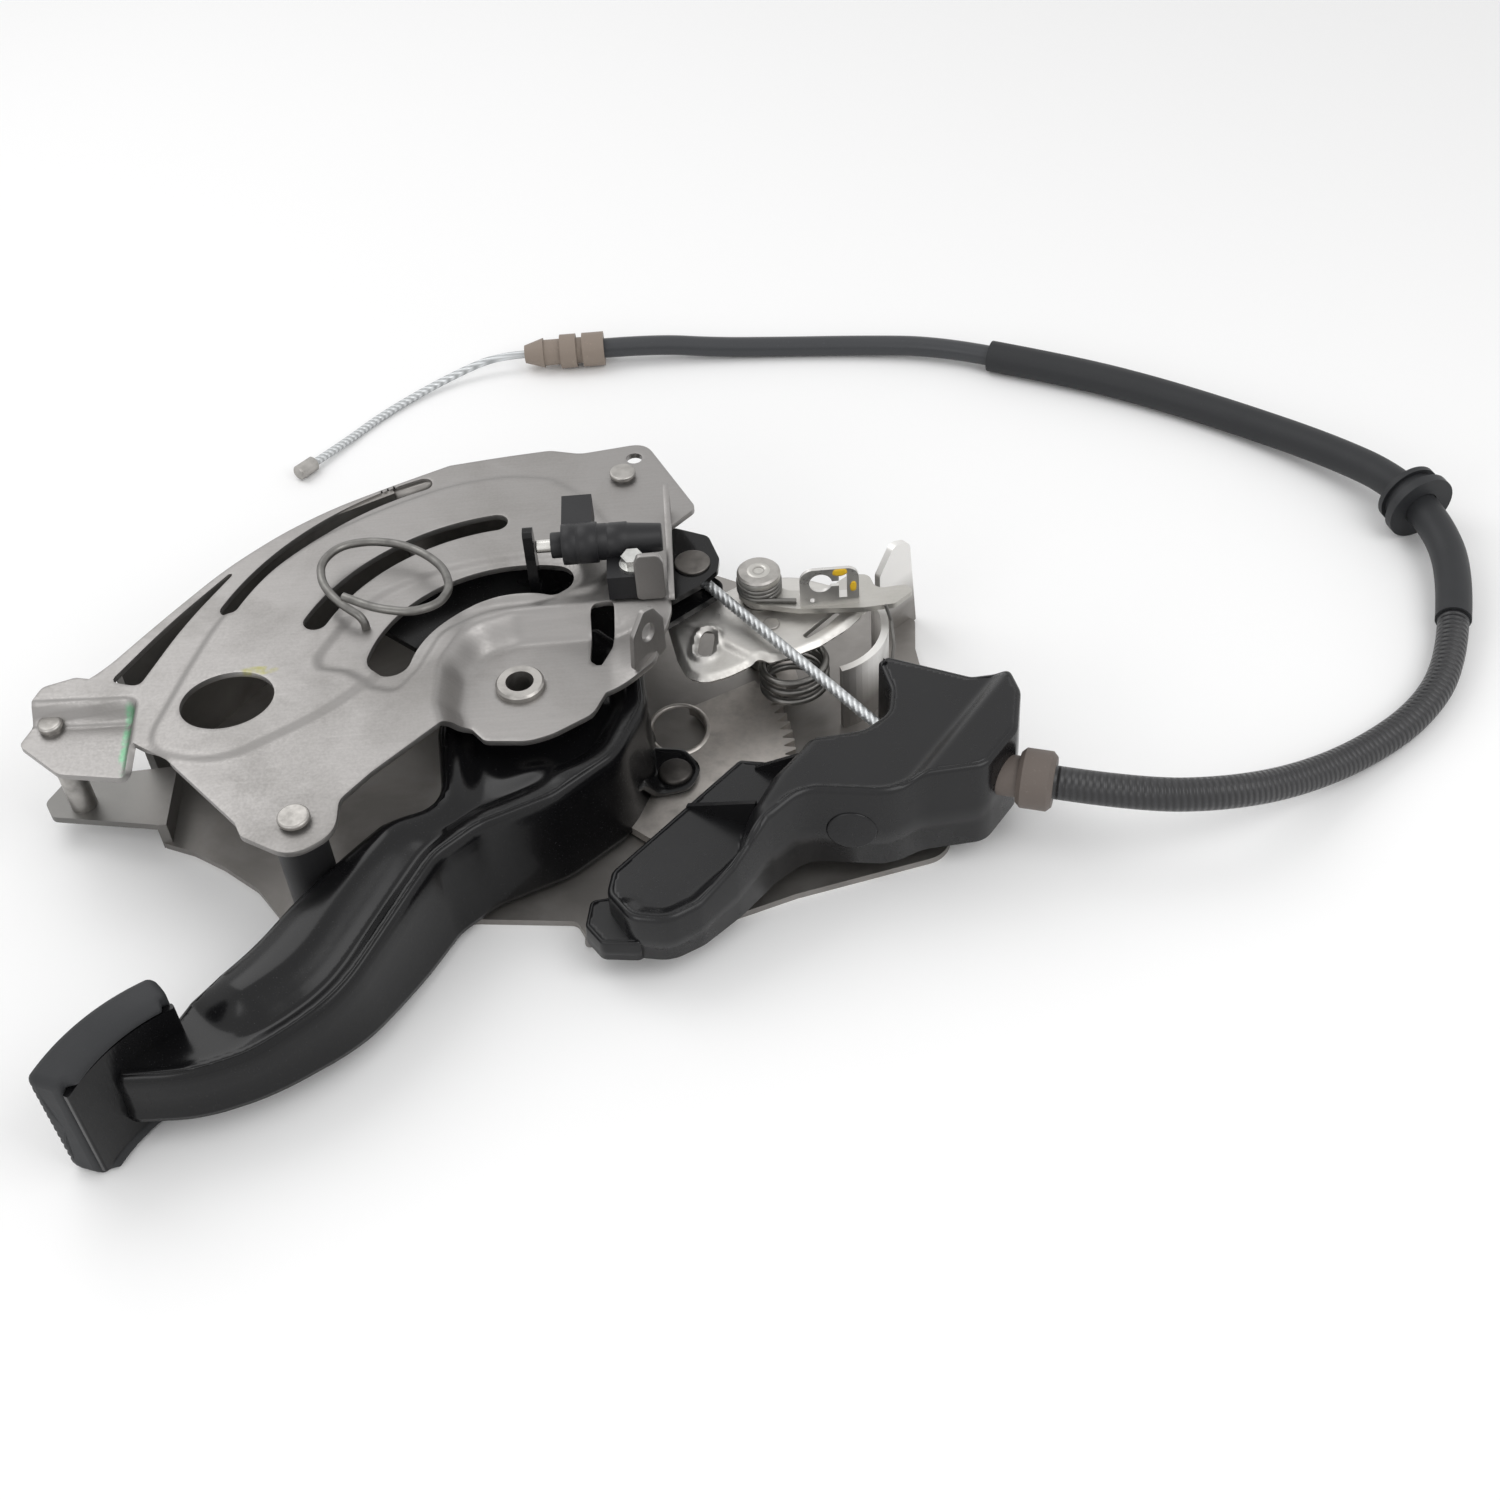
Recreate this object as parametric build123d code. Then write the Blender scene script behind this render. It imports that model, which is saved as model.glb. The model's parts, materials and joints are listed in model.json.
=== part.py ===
from build123d import *
import math
import os

os.makedirs("parts", exist_ok=True)

# Foot parking brake control with its front cable. Millimetres, +Z up.
# The origin is on the pedal's pivot axis, at the surface that the lower plate lies on.

# Sheets and levels
upper_sheet = 2.5
lower_sheet = 3.0
pocket_depth = 10.0  # pressed pocket round the pivot
pocket_gap = 6.0  # between the drum's top and the pocket's sheet
tab_drop = 10.0  # left tab below the fan
lower_tab_rise = 10.5  # left tab above the lower plate
wall_slope = 30.0  # draft of the pressed walls, degrees

# Fits and clearances
hinge_clearance = 0.05
free_gap = 0.3
rivet_clearance = 0.02

# Pivot
pivot_bore_radius = 5.5
pivot_tube_radius = 9.5
sleeve_wall = 3.0
pivot_collar = 1.2

# Pedal arm
arm_sheet = 2.6
arm_base = 5.5
arm_height = 44.0
arm_dish = 5.0  # drum's top inside its rim
arm_valley = 2.0  # groove between the arm's shoulder and its crown
arm_crown = 1.6
web_thickness = 3.0
web_radius = 104.0
web_start = 37.0
web_end = 138.0
pad_base = 0.5
pad_width = 55.0
pad_groove = 1.0
pad_pitch = 4.0

# Toothed sector and pawl
sector_thickness = 4.0
sector_base = 4.0
tooth_tip_radius = 105.0
tooth_depth = 4.5
tooth_count = 22
tooth_pitch_deg = 2.75
sector_start = -36.0
sector_window_radius = 11.0
pawl_offset = 9.0509  # pawl pin's axis beyond the web's rim
pawl_bearing = 32.3546  # degrees
pawl_pin_radius = 5.0
pawl_sleeve_wall = 2.2

# Control plate and release lever
control_level = 38.0
control_sheet = 2.5
lever_base = 41.0
lever_sheet = 2.5
clip_sheet = 1.6
clip_height = 19.0
spring_wire = 1.0
spring_turns = 3

# Inner wire and its anchor
wire_radius = 2.3
wire_level = 47.2
anchor_sheet = 2.5
eye_radius = 7.5
eye_drop = 1.1  # how far the eye reaches below the wire
fitting_level = 35.0
fitting_turn = -18.0  # heading of the conduit where it leaves the cover, degrees
collar_radius = 11.5
collar_start = 16.5
collar_end = 30.0

# Lamp switch
switch_rise = 14.0  # plunger's axis above the fan plate
switch_line = 52.0
switch_radius = 8.0
plunger_radius = 2.6
plunger_travel = 3.0
finger_thickness = 4.0
finger_width = 8.0
finger_x = 8.0

# Cover
cover_wall = 2.2
cover_top = 50.0
cover_floor = 32.0
cover_bottom = 12.0

# Cable
ribbed_radius = 6.45
sleeve_radius = 7.5
conduit_radius = 4.9
bare_radius = 1.9


def reach(points, index):
    count = len(points)
    before = Vector(*points[index - 1][:2]) - Vector(*points[index][:2])
    after = Vector(*points[(index + 1) % count][:2]) - Vector(*points[index][:2])
    turn = 180.0 - before.get_angle(after)
    shorter = min(before.length, after.length)
    return 0.45 * shorter / math.tan(math.radians(turn / 2))


def rounded(points):
    """Closed face of (x, y, radius) corners, where no radius means as round as its sides allow."""
    pairs = zip(points, points[1:] + points[:1])
    if sum(first[0] * second[1] - second[0] * first[1] for first, second in pairs) < 0:
        points = points[::-1]
    radii = []
    for index, point in enumerate(points):
        largest = reach(points, index)
        radii.append(min(point[2], largest) if len(point) > 2 else largest)
    corners = [(point[0], point[1]) for point in points]
    return make_face(FilletPolyline(*corners, radius=radii, close=True))


def slab(face, base, thickness, taper=0.0):
    return Pos(0, 0, base) * extrude(face, amount=thickness, dir=(0, 0, 1), taper=taper)


def post(x, y, base, height, radius):
    return Pos(x, y, base) * Cylinder(radius, height, align=(Align.CENTER, Align.CENTER, Align.MIN))


def block(x, y, z, size_x, size_y, size_z):
    return Pos(x, y, z) * Box(size_x, size_y, size_z, align=(Align.CENTER, Align.CENTER, Align.MIN))


def polar(radius, angle):
    return radius * math.cos(math.radians(angle)), radius * math.sin(math.radians(angle))


def ring_sector(inner, outer, start, end):
    """Flat part of a ring between two angles."""
    middle = (start + end) / 2
    edges = [
        ThreePointArc(polar(outer, start), polar(outer, middle), polar(outer, end)),
        Line(polar(outer, end), polar(inner, end)),
        ThreePointArc(polar(inner, end), polar(inner, middle), polar(inner, start)),
        Line(polar(inner, start), polar(outer, start)),
    ]
    return make_face(edges)


def slot_arc(radius, width, start, end):
    """Curved slot with round ends."""
    face = ring_sector(radius - width / 2, radius + width / 2, start, end)
    for angle in (start, end):
        x, y = polar(radius, angle)
        face += Pos(x, y) * Circle(width / 2)
    return face


def around(place, points):
    """Corners given from a place, as corners from the origin."""
    return [(place[0] + point[0], place[1] + point[1], *point[2:]) for point in points]


# Upper bracket
pawl_place = polar(web_radius + pawl_offset, pawl_bearing)
upper_level = arm_base + arm_height + pocket_gap + upper_sheet + pocket_depth
pocket_level = upper_level - pocket_depth
upper_under = upper_level - upper_sheet
tab_level = upper_level - tab_drop
pin_left = (-181.0, -3.0)
bumper_place = (-78.0, -71.0)
rear_post_place = polar(web_radius + 15.6, 69.4)
corner_hole = (rear_post_place[0] + 5.0, rear_post_place[1] + 12.0)
corner_hole_radius = 3.5
pin_radius = 5.2
rivet_head_radius = 6.0
rivet_shank = 4.0
bumper_radius = 9.5
rear_post_radius = 5.0
ring_slots = [(125.0, 8.0, 110.0, 158.0), (87.0, 10.0, 97.0, 157.0)]
finger_slot = (51.0, 17.0, 75.0, 168.0)
pigtail_foot = (-60.0, 29.0)
pigtail_radius = 1.7
pigtail_route = [
    (-60, 29, -4.5), (-60, 29, 4), (-70, 36, 7), (-77, 46, 9), (-78.5, 58, 9.5), (-72, 68, 9), (-60, 70.5, 8.5),
    (-47, 66.5, 9), (-36, 57.5, 10), (-28, 46, 11.5), (-24.5, 31, 14), (-28, 19.5, 16.5), (-38, 14.3, 18),
    (-52, 18, 18.2), (-65, 27, 17.5),
]


def fan_face():
    crown = around(rear_post_place, [(-52, 20), (-31, 22, 12), (-18, 18, 14), (10, 22, 9), (30, -24, 4)])
    return rounded([
        (-144, -24, 3), (-147, -1, 2), (-177, 4, 2), (-162, 16), (-143, 43), (-121, 72), (-100, 92),
        (-80, 106), (-56, 118), (-32, 129, 9), *crown, (60, 76, 3), (60, 28, 2), (52, 2, 3), (33, -7, 2),
        (28, -18, 10), (13, -27, 20), (4, -30, 20), (-13, -28, 4), (-19, -20, 6), (-24, -22, 4),
        (-52, -49, 6), (-63, -62, 8), (-63, -78, 14), (-78, -88, 14), (-97, -76, 5), (-100, -69, 4),
        (-129, -35, 4),
    ])


def crescent_face():
    return rounded([
        (-158, 10, 3), (-146, 6, 4), (-133, 40), (-117, 69, 0.6), (-119, 69, 0.6), (-139, 42),
    ])


def pocket_face():
    return rounded([(-21, 20, 19), (74, 20, 2), (74, -46, 2), (-13, -46, 2), (-21, -10, 20)])


def upper_plate():
    fan = slab(fan_face(), upper_under, upper_sheet)
    pocket = pocket_face()
    wall = slab(offset(pocket, 1.3), pocket_level - upper_sheet, pocket_depth + upper_sheet, -wall_slope)
    wall -= slab(pocket, pocket_level, pocket_depth, -wall_slope)
    fan -= slab(offset(pocket, 1.3), pocket_level - upper_sheet, pocket_depth + upper_sheet, -wall_slope)
    wall &= slab(fan_face(), pocket_level - upper_sheet, pocket_depth + upper_sheet)
    plate = fan + wall
    cuts = [crescent_face(), Pos(*corner_hole) * Circle(corner_hole_radius)]
    cuts += [slot_arc(*slot) for slot in ring_slots]
    cuts.append(slot_arc(*finger_slot))
    cuts.append(Pos(-110, -7) * Rot(0, 0, 12) * Ellipse(18, 15))
    cuts.append(Pos(*pigtail_foot) * Circle(pigtail_radius + rivet_clearance))
    for cut in cuts:
        plate -= slab(cut, upper_under - 1, upper_sheet + 2)
    window = rounded([(29, 30, 3), (42, 30, 3), (44, 8, 3), (34, 2, 3)])
    plate -= slab(window, pocket_level - upper_sheet - 1, pocket_depth + upper_sheet + 2)
    plate -= post(0, 0, pocket_level - 5, 10, pivot_tube_radius + rivet_clearance)
    for place in (bumper_place, rear_post_place):
        plate -= post(*place, upper_under - 1, upper_sheet + 2, rivet_shank + rivet_clearance)
    plate += left_tab()
    plate += bent_lugs()
    return plate


def left_tab():
    """Tab one step below the fan, with the riser that joins the two."""
    tab = rounded([
        (-192, -11, 3), (-184, 10, 4), (-172, 14, 3), (-147, 8, 2), (-144, -24, 2), (-148, -33, 3),
        (-174, -28, 8),
    ])
    sheet = slab(tab, tab_level - upper_sheet, upper_sheet)
    riser = Polygon((-172, 3), (-146, -2), (-142, -25), (-144.5, -25.5), (-148.5, -3.5), (-173, 0.5), align=None)
    sheet += slab(riser, tab_level - upper_sheet, tab_drop + upper_sheet)
    sheet -= post(*pin_left, tab_level - 5, 10, pin_radius - 1.2 + rivet_clearance)
    return sheet


def bent_lugs():
    """Flanges that stand up from the right edge: the blade, the switch tab and the eyelet ear."""
    blade_profile = Polygon((28, 0), (76, 0), (79, 13), (74, 12), (40, 5), (29, 2), align=None)
    blade = Pos(60, 0, upper_level - 0.5) * (Plane.YZ * extrude(blade_profile, amount=-upper_sheet))
    tab_profile = rounded([(-6, -1, 0.5), (6, -1, 0.5), (6, 22, 5), (-6, 22, 5)])
    switch_tab = Pos(52, 33, upper_level - 0.5) * (Plane.XZ * extrude(tab_profile, amount=upper_sheet))
    ear_profile = rounded([(-9, 0, 0.5), (9, 0, 0.5), (8, 22, 6), (-6, 24, 6)])
    ear_profile -= Pos(0.5, 13) * Ellipse(3.4, 5.4)
    ear = Pos(49.5, 5, pocket_level - 0.5) * Rot(0, 0, 62) * (Plane.XZ * extrude(ear_profile, amount=upper_sheet))
    return blade + switch_tab + ear


# Lower plate
rim_outline = [(-159, 19), (-143, 42), (-121, 71), (-100, 91), (-80, 105), (-56, 117)]


def lower_face():
    return rounded([
        (-150, -18, 2), (-137, -24, 8), (-124, -33, 10), (-109, -46, 12), (-98, -62, 12), (-92, -82, 10),
        (-72, -88, 10), (-45, -74, 20), (-24, -70, 20), (16, -75, 4), (20, -84, 3), (58, -84, 4),
        (100, -70, 10), (160, -56, 12),
        *around(pawl_place, [(70.5, -80.5, 20), (64.5, -0.5, 4), (66.5, 17.5, 3), (50.5, 27.5, 8), (16.5, 35.5, 20)]),
        *around(rear_post_place, [(28, 10, 20), (-22, 14)]), (-36, 123.5, 12),
        *rim_outline[::-1], (-150, 12, 2),
    ])


def rim_wall():
    """Wall that the lower plate turns up to the fan along its rear left edge."""
    inner = []
    for x, y in rim_outline:
        share = 1 - lower_sheet / math.hypot(x, y)
        inner.append((x * share, y * share))
    return slab(Polygon(*rim_outline, *reversed(inner), align=None), 0, upper_under)


def lower_plate():
    plate = slab(lower_face(), 0, lower_sheet)
    plate += rim_wall()
    tab = rounded([(-197, -1, 4), (-193, -9, 4), (-148, -18, 2), (-148, 14, 2), (-190, 12, 5)])
    plate += slab(tab, lower_tab_rise, lower_sheet)
    riser = Polygon((-150, -18), (-146, -18), (-146, 14), (-150, 14), align=None)
    plate += slab(riser, 0, lower_tab_rise + lower_sheet)
    plate += rear_wall()
    plate -= post(0, 0, -1, lower_sheet + 2, pivot_tube_radius + rivet_clearance)
    plate -= post(*pin_left, lower_tab_rise - 1, lower_sheet + 2, pin_radius - 1.2 + rivet_clearance)
    for place in (bumper_place, rear_post_place):
        plate -= post(*place, -1, lower_sheet + 2, rivet_shank + rivet_clearance)
    plate -= post(*pawl_place, -1, lower_sheet + 2, pawl_pin_radius + rivet_clearance)
    return plate


wall_centre = (pawl_place[0] + 22.5, pawl_place[1] - 16.5)
wall_inner = 26.0
wall_hole = (pawl_place[0] + 47.3, pawl_place[1] - 28.4)
wall_hole_level = 24.0
hook_radius = 0.7


def rear_wall():
    """Curved wall and tall tab that the lower plate turns up at its right end."""
    wall = slab(ring_sector(wall_inner, wall_inner + lower_sheet, -75, 28), 0, control_level - control_sheet)
    wall = Pos(*wall_centre, 0) * wall
    turn = math.degrees(math.atan2(wall_hole[1] - wall_centre[1], wall_hole[0] - wall_centre[0]))
    wall -= Pos(*wall_hole, wall_hole_level) * Rot(0, 0, turn) * Rot(0, 90, 0) * Cylinder(hook_radius + 0.8, 12)
    tab_profile = rounded([(0, 0, 0.5), (22, 0, 0.5), (18, 46, 5), (9, 50, 4), (0, 38, 3)])
    tab = Rot(0, 0, 40) * (Plane.XZ * extrude(tab_profile, amount=lower_sheet))
    tab = Pos(pawl_place[0] + 48.5, pawl_place[1] + 9.5, 0) * tab
    return wall + tab


# Fixed posts and pins

def riveted_post(place, base, top, radius, shank, head_radius, head_height):
    """Shouldered pin: body between the two sheets, shanks through them and a flat head outside."""
    base_sheet = base - lower_sheet
    body = post(*place, base, top - base, radius)
    body += post(*place, base_sheet, top - base + lower_sheet + upper_sheet, shank)
    head = post(*place, top + upper_sheet, head_height, head_radius)
    return body + fillet(head.edges().group_by(Axis.Z)[-1], head_height * 0.6)


def pivot_tube():
    height = pocket_level + pivot_collar
    tube = post(0, 0, 0, height, pivot_tube_radius)
    tube = chamfer(tube.edges().group_by(Axis.Z)[-1], 0.8)
    return tube - post(0, 0, -1, height + 2, pivot_bore_radius)


def standoff_pin():
    base = lower_tab_rise + lower_sheet
    return riveted_post(pin_left, base, tab_level - upper_sheet, pin_radius, pin_radius - 1.2, 4.8, 2.0)


def bumper():
    height = upper_under - lower_sheet
    sleeve = post(*bumper_place, lower_sheet, height, bumper_radius)
    return sleeve - post(*bumper_place, lower_sheet - 1, height + 2, rivet_shank + rivet_clearance)


def bumper_rivet():
    rivet = post(*bumper_place, 0, upper_level, rivet_shank)
    head = post(*bumper_place, upper_level, 1.8, rivet_head_radius)
    return rivet + fillet(head.edges().group_by(Axis.Z)[-1], 1.0)


def rear_post():
    return riveted_post(rear_post_place, lower_sheet, upper_under, rear_post_radius, rivet_shank, 5.5, 1.6)


# Pedal
arm_top = arm_base + arm_height
switch_level = upper_level + switch_rise
web_top = wire_level - wire_radius - free_gap - eye_drop
web_base = web_top - web_thickness
keeper_base = wire_level + wire_radius + free_gap
sleeve_inner = pivot_tube_radius + hinge_clearance
sleeve_outer = sleeve_inner + sleeve_wall
sector_top = sector_base + sector_thickness
sector_end = sector_start + tooth_count * tooth_pitch_deg
sector_rivet_place = (56.0, -9.0)
sector_rivet_radius = 3.6
anchor_place = polar(web_radius - 6.5, 45.2)
anchor_pin_radius = 4.5


def arm_side():
    """Plan of the pressed channel, from the drum round the pivot to the pad."""
    return rounded([
        (30, 40, 6), (47, 20, 20), (49, -8, 30), (38, -34, 30), (14, -54, 30), (-14, -66, 20), (-28, -78, 20),
        (-44, -106), (-60, -132), (-86, -151), (-112, -159), (-136, -160, 6), (-150, -150, 6),
        (-124, -124, 6), (-108, -118, 20), (-95, -105), (-84, -91), (-70, -77.3, 12), (-52, -60.5, 12),
        (-30, -50, 16), (-34, -10, 30), (-20, 34, 30),
    ])


def arm_height_at(face, base, height):
    return slab(face, base, height, 2.0)


def pressed_down(body, face, depth):
    """Body with its top pressed down over a plan area."""
    return body - (slab(face, 0, 2 * arm_top) - Pos(0, 0, -depth) * body)


def pressed_up(body, face, height):
    return body + (slab(face, arm_base, 2 * arm_top) & Pos(0, 0, height) * body)


def drum_floor():
    return rounded([
        (20, 28, 12), (35, 13, 14), (37.5, -9, 20), (28.5, -27.5, 20), (8, -44, 20), (-12, -52, 6),
        (-19, -45, 6), (-22.5, -10, 20), (-12, 22, 14),
    ])


def arm_groove():
    return rounded([
        (-24, -66.5, 8), (-36.5, -78), (-52, -103), (-66.7, -126.8), (-90.7, -144), (-114.5, -150.5, 8),
        (-120.5, -132.5, 8), (-103, -125.2), (-88, -110.4), (-76, -94), (-61.5, -77.7), (-44, -65.5, 8),
    ])


def arm_band():
    return rounded([
        (-28, -68, 6), (-40, -78), (-55.2, -101.8), (-69.5, -124.7), (-92.1, -141.9), (-115.4, -149.1, 5),
        (-120.6, -133.9, 5), (-101.9, -127.1), (-85.5, -112.3), (-72.8, -95.2), (-57, -78), (-42, -67.5, 6),
    ])


def arm_form(body, inset=0.0):
    """Dished drum, and a crown between two grooves along the arm, on the outside or the inside of the sheet."""
    floor, groove, band = drum_floor(), arm_groove(), arm_band()
    if inset:
        floor, groove, band = offset(floor, inset), offset(groove, inset), offset(band, -inset)
    body = pressed_down(body, floor - Circle(sleeve_outer + 7.5 - inset), arm_dish)
    body = pressed_down(body, groove, arm_valley)
    return pressed_up(body, band, arm_valley + arm_crown)


def pedal_arm():
    outer = arm_height_at(arm_side(), arm_base, arm_height)
    outer -= tail_cut()
    inner = arm_height_at(offset(arm_side(), -arm_sheet), arm_base - 1, arm_height - arm_sheet + 1)
    inner -= tail_cut(arm_sheet)
    shell = arm_form(outer) - arm_form(inner, 0.25 * arm_sheet)
    shell -= slab(web_face(), web_base, web_thickness)
    shell -= post(0, 0, 0, arm_top + 5, sleeve_outer + rivet_clearance)
    shell -= slab(ring_sector(5, tooth_tip_radius, sector_start - 9, sector_end + 3), 0, sector_top)
    shell += sector_lug()
    shell -= post(*sector_rivet_place, 0, sector_top + 4, sector_rivet_radius + rivet_clearance)
    shell -= pad_side()
    return shell


def tail_cut(inset=0.0):
    """Wedges that bring the channel's top and foot together towards the pad."""
    top = Polygon((-40, arm_top + 1), (-150, arm_top + 1), (-150, 36), (-110, 38), (-62, arm_top - 4), align=None)
    foot = Polygon((-30, arm_base - 2), (-150, arm_base - 2), (-150, 16), (-100, 14), (-52, arm_base + 4), align=None)
    top = Pos(0, 40, -inset) * (Plane.XZ * extrude(top, amount=260))
    foot = Pos(0, 40, 0) * (Plane.XZ * extrude(foot, amount=260))
    return top + foot


def web_face():
    fan = ring_sector(sleeve_outer + 2, web_radius, web_start, web_end)
    fan = fillet(fan.vertices().sort_by(lambda v: -math.hypot(v.X, v.Y))[:2], 6)
    return fan + Circle(sleeve_outer + 4)


def anchor_web():
    """Fan let into the drum's wall, which the wire's anchor stands on."""
    web = slab(web_face(), web_base, web_thickness)
    web -= post(0, 0, 0, web_top + 5, sleeve_outer + rivet_clearance)
    return web - post(*anchor_place, web_base - 1, web_thickness + 2, anchor_pin_radius + rivet_clearance)


def switch_finger():
    """Blade on the web that holds the lamp switch's plunger in."""
    rise = switch_level + 9.0 - web_top
    profile = rounded([
        (-5, 0, 0.5), (5, 0, 0.5), (4.2, rise - 12, 1), (3, rise, 2), (-2.5, rise, 2), (-4.2, rise - 12, 1),
    ])
    blade = Plane.YZ * extrude(profile, amount=finger_thickness)
    return Pos(finger_x - finger_thickness, switch_line - 0.5, web_top) * blade


def sector_lug():
    """Ear on the drum's foot that the toothed sector is riveted to."""
    x, y = sector_rivet_place
    ear = rounded([(40, 8, 3), (x + 4, 4, 6), (x + 9, y - 2, 8), (x + 3, y - 9, 8), (36, -26, 3)])
    return slab(ear, sector_top, arm_sheet)


def hub_sleeve():
    base = lower_sheet + free_gap
    height = pocket_level - upper_sheet - free_gap - base
    return post(0, 0, base, height, sleeve_outer) - post(0, 0, base, height, sleeve_inner)


def toothed_sector():
    root = tooth_tip_radius - tooth_depth
    face = ring_sector(sleeve_outer + 0.5, root, sector_start - 6, sector_end + 1)
    for index in range(tooth_count):
        start = sector_start + index * tooth_pitch_deg
        tooth = Polygon(
            polar(root - 1, start), polar(root, start), polar(tooth_tip_radius, start + 0.42 * tooth_pitch_deg),
            polar(tooth_tip_radius, start + 0.62 * tooth_pitch_deg), polar(root, start + 0.86 * tooth_pitch_deg),
            polar(root - 1, start + 0.86 * tooth_pitch_deg), align=None)
        face += tooth
    face -= Pos(58, 18) * Ellipse(sector_window_radius, sector_window_radius + 2)
    face -= Pos(*sector_rivet_place) * Circle(sector_rivet_radius + rivet_clearance)
    return slab(face, sector_base, sector_thickness)


def sector_rivet():
    rivet = post(*sector_rivet_place, sector_base, sector_thickness + arm_sheet, sector_rivet_radius)
    head = post(*sector_rivet_place, sector_top + arm_sheet, 1.6, sector_rivet_radius + 2.2)
    return rivet + fillet(head.edges().group_by(Axis.Z)[-1], 0.9)


def anchor_keeper():
    """Black plate over the wire's eye."""
    face = rounded(around(anchor_place, [
        (-10.7, -23.2, 3), (3.3, -13.2, 4), (10.3, -5.2, 4), (11.3, 1.8, 4), (7.3, 16.8, 5), (-8.7, 24.8, 8),
        (-26.7, 14.8, 10), (-24.7, -13.2, 10),
    ]))
    plate = slab(face, keeper_base, anchor_sheet)
    return plate - post(*anchor_place, web_top, 20, anchor_pin_radius + rivet_clearance)


def anchor_pin():
    keeper_top = keeper_base + anchor_sheet
    pin = post(*anchor_place, web_base, keeper_top - web_base, anchor_pin_radius)
    head = post(*anchor_place, keeper_top, 1.2, anchor_pin_radius + 3.0)
    return pin + fillet(head.edges().group_by(Axis.Z)[-1], 0.6)


def wire_eye():
    """Cast eye on the wire's end, turning on the anchor pin."""
    height = keeper_base - web_top - 2 * hinge_clearance
    eye = post(*anchor_place, web_top + hinge_clearance, height, eye_radius)
    eye = fillet(eye.edges().filter_by(GeomType.CIRCLE), 1.0)
    return eye - post(*anchor_place, web_top, 20, anchor_pin_radius + hinge_clearance)


def keeper_spacer():
    """Distance piece that the keeper and the web are held apart by."""
    return post(anchor_place[0] - 12.7, anchor_place[1] + 10.8, web_top, keeper_base - web_top, 4.0)


# Pedal pad
pad_outer = [(-124, -126), (-147, -143), (-161, -166)]
pad_inner = [(-117, -136), (-136.5, -151), (-148, -171)]
pad_back = [(-115.5, -138), (-134.5, -153), (-145.8, -172)]


def between_arcs(first, second):
    """Face between two arcs, each given by three points."""
    return make_face([
        ThreePointArc(*first), Line(first[2], second[2]), ThreePointArc(*reversed(second)), Line(second[0], first[0]),
    ])


def pad_side():
    """Room that the pad and its plate take from the end of the arm."""
    face = make_face([
        ThreePointArc(*pad_back), Line(pad_back[2], (-200, -190)), Line((-200, -190), (-200, -100)),
        Line((-200, -100), (-126, -116)), Line((-126, -116), pad_back[0]),
    ])
    return slab(face, 0, 80)


def pedal_pad():
    """Ribbed rubber pad, hollow enough to grip the plate's edge."""
    pad = slab(between_arcs(pad_outer, pad_inner), pad_base, pad_width)
    pad = fillet(pad.edges().filter_by(Axis.Z), 2.5)
    count = int(pad_width / pad_pitch)
    ridge = between_arcs(pad_outer, [(x + 0.64 * pad_groove, y - 0.77 * pad_groove) for x, y in pad_outer])
    for index in range(1, count):
        pad -= slab(ridge, pad_base + index * pad_pitch - 0.25 * pad_pitch, 0.5 * pad_pitch)
    return pad


def pad_plate():
    """Steel plate welded to the arm's end, behind the rubber."""
    margin = 5.0
    plate = slab(between_arcs(pad_inner, pad_back), pad_base + margin, pad_width - 2 * margin)
    return fillet(plate.edges().filter_by(Axis.Z), 0.8)


# Pawl, release lever and their pin
pawl_bore = pawl_pin_radius + hinge_clearance
pawl_outer = pawl_bore + pawl_sleeve_wall
lever_top = lever_base + lever_sheet
sleeve_top = lever_top + 6.0
spring_radius = pawl_pin_radius + 2.0
pin_head_base = sleeve_top + free_gap
control_under = control_level - control_sheet


def pawl_pin():
    pin = post(*pawl_place, 0, pin_head_base, pawl_pin_radius)
    head = post(*pawl_place, pin_head_base, 3.6, pawl_pin_radius + 3.9)
    head = chamfer(head.edges().group_by(Axis.Z)[-1], 0.8)
    dimple = post(*pawl_place, pin_head_base + 3.2, 1.0, 2.0)
    return pin + head - dimple


def pawl():
    """Tooth that catches the sector, on the foot of the sleeve."""
    tip = polar(tooth_tip_radius + free_gap + 0.4, 22.0)
    face = rounded([
        (tip[0] - 0.6, tip[1] - 0.6, 0.3), (tip[0] + 3.5, tip[1] - 4.0, 1.0), (tip[0] + 11, tip[1] + 2, 4),
        *around(pawl_place, [(11, -2, 6), (6, 9, 6), (-7, 7, 5), (2.5, -9, 3)]), (tip[0] + 2.2, tip[1] + 4.0, 1.5),
    ])
    plate = slab(face, sector_base, sector_thickness)
    return plate - post(*pawl_place, 0, sector_top + 5, pawl_outer + rivet_clearance)


def pawl_sleeve():
    base = lower_sheet + free_gap
    sleeve = post(*pawl_place, base, sleeve_top - base, pawl_outer)
    return sleeve - post(*pawl_place, 0, sleeve_top + 5, pawl_bore)


def release_lever():
    face = rounded(around(pawl_place, [
        (-9, -3.5, 6), (-0.5, -10, 6), (15.5, -14.5, 4), (41.5, -16.5, 3), (54.5, -15.5, 4), (62.5, -8.5, 2),
        (60.5, -4.5, 2), (47.5, -5.5, 4), (45.5, 3.5, 4), (37.5, 4.5, 4), (26.5, -4.5, 6), (10.5, -2.5, 6),
        (2.5, 10, 6), (-8.5, 6.5, 6),
    ]))
    lever = slab(face, lever_base, lever_sheet)
    return lever - post(*pawl_place, 0, lever_top + 5, pawl_outer + rivet_clearance)


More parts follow.
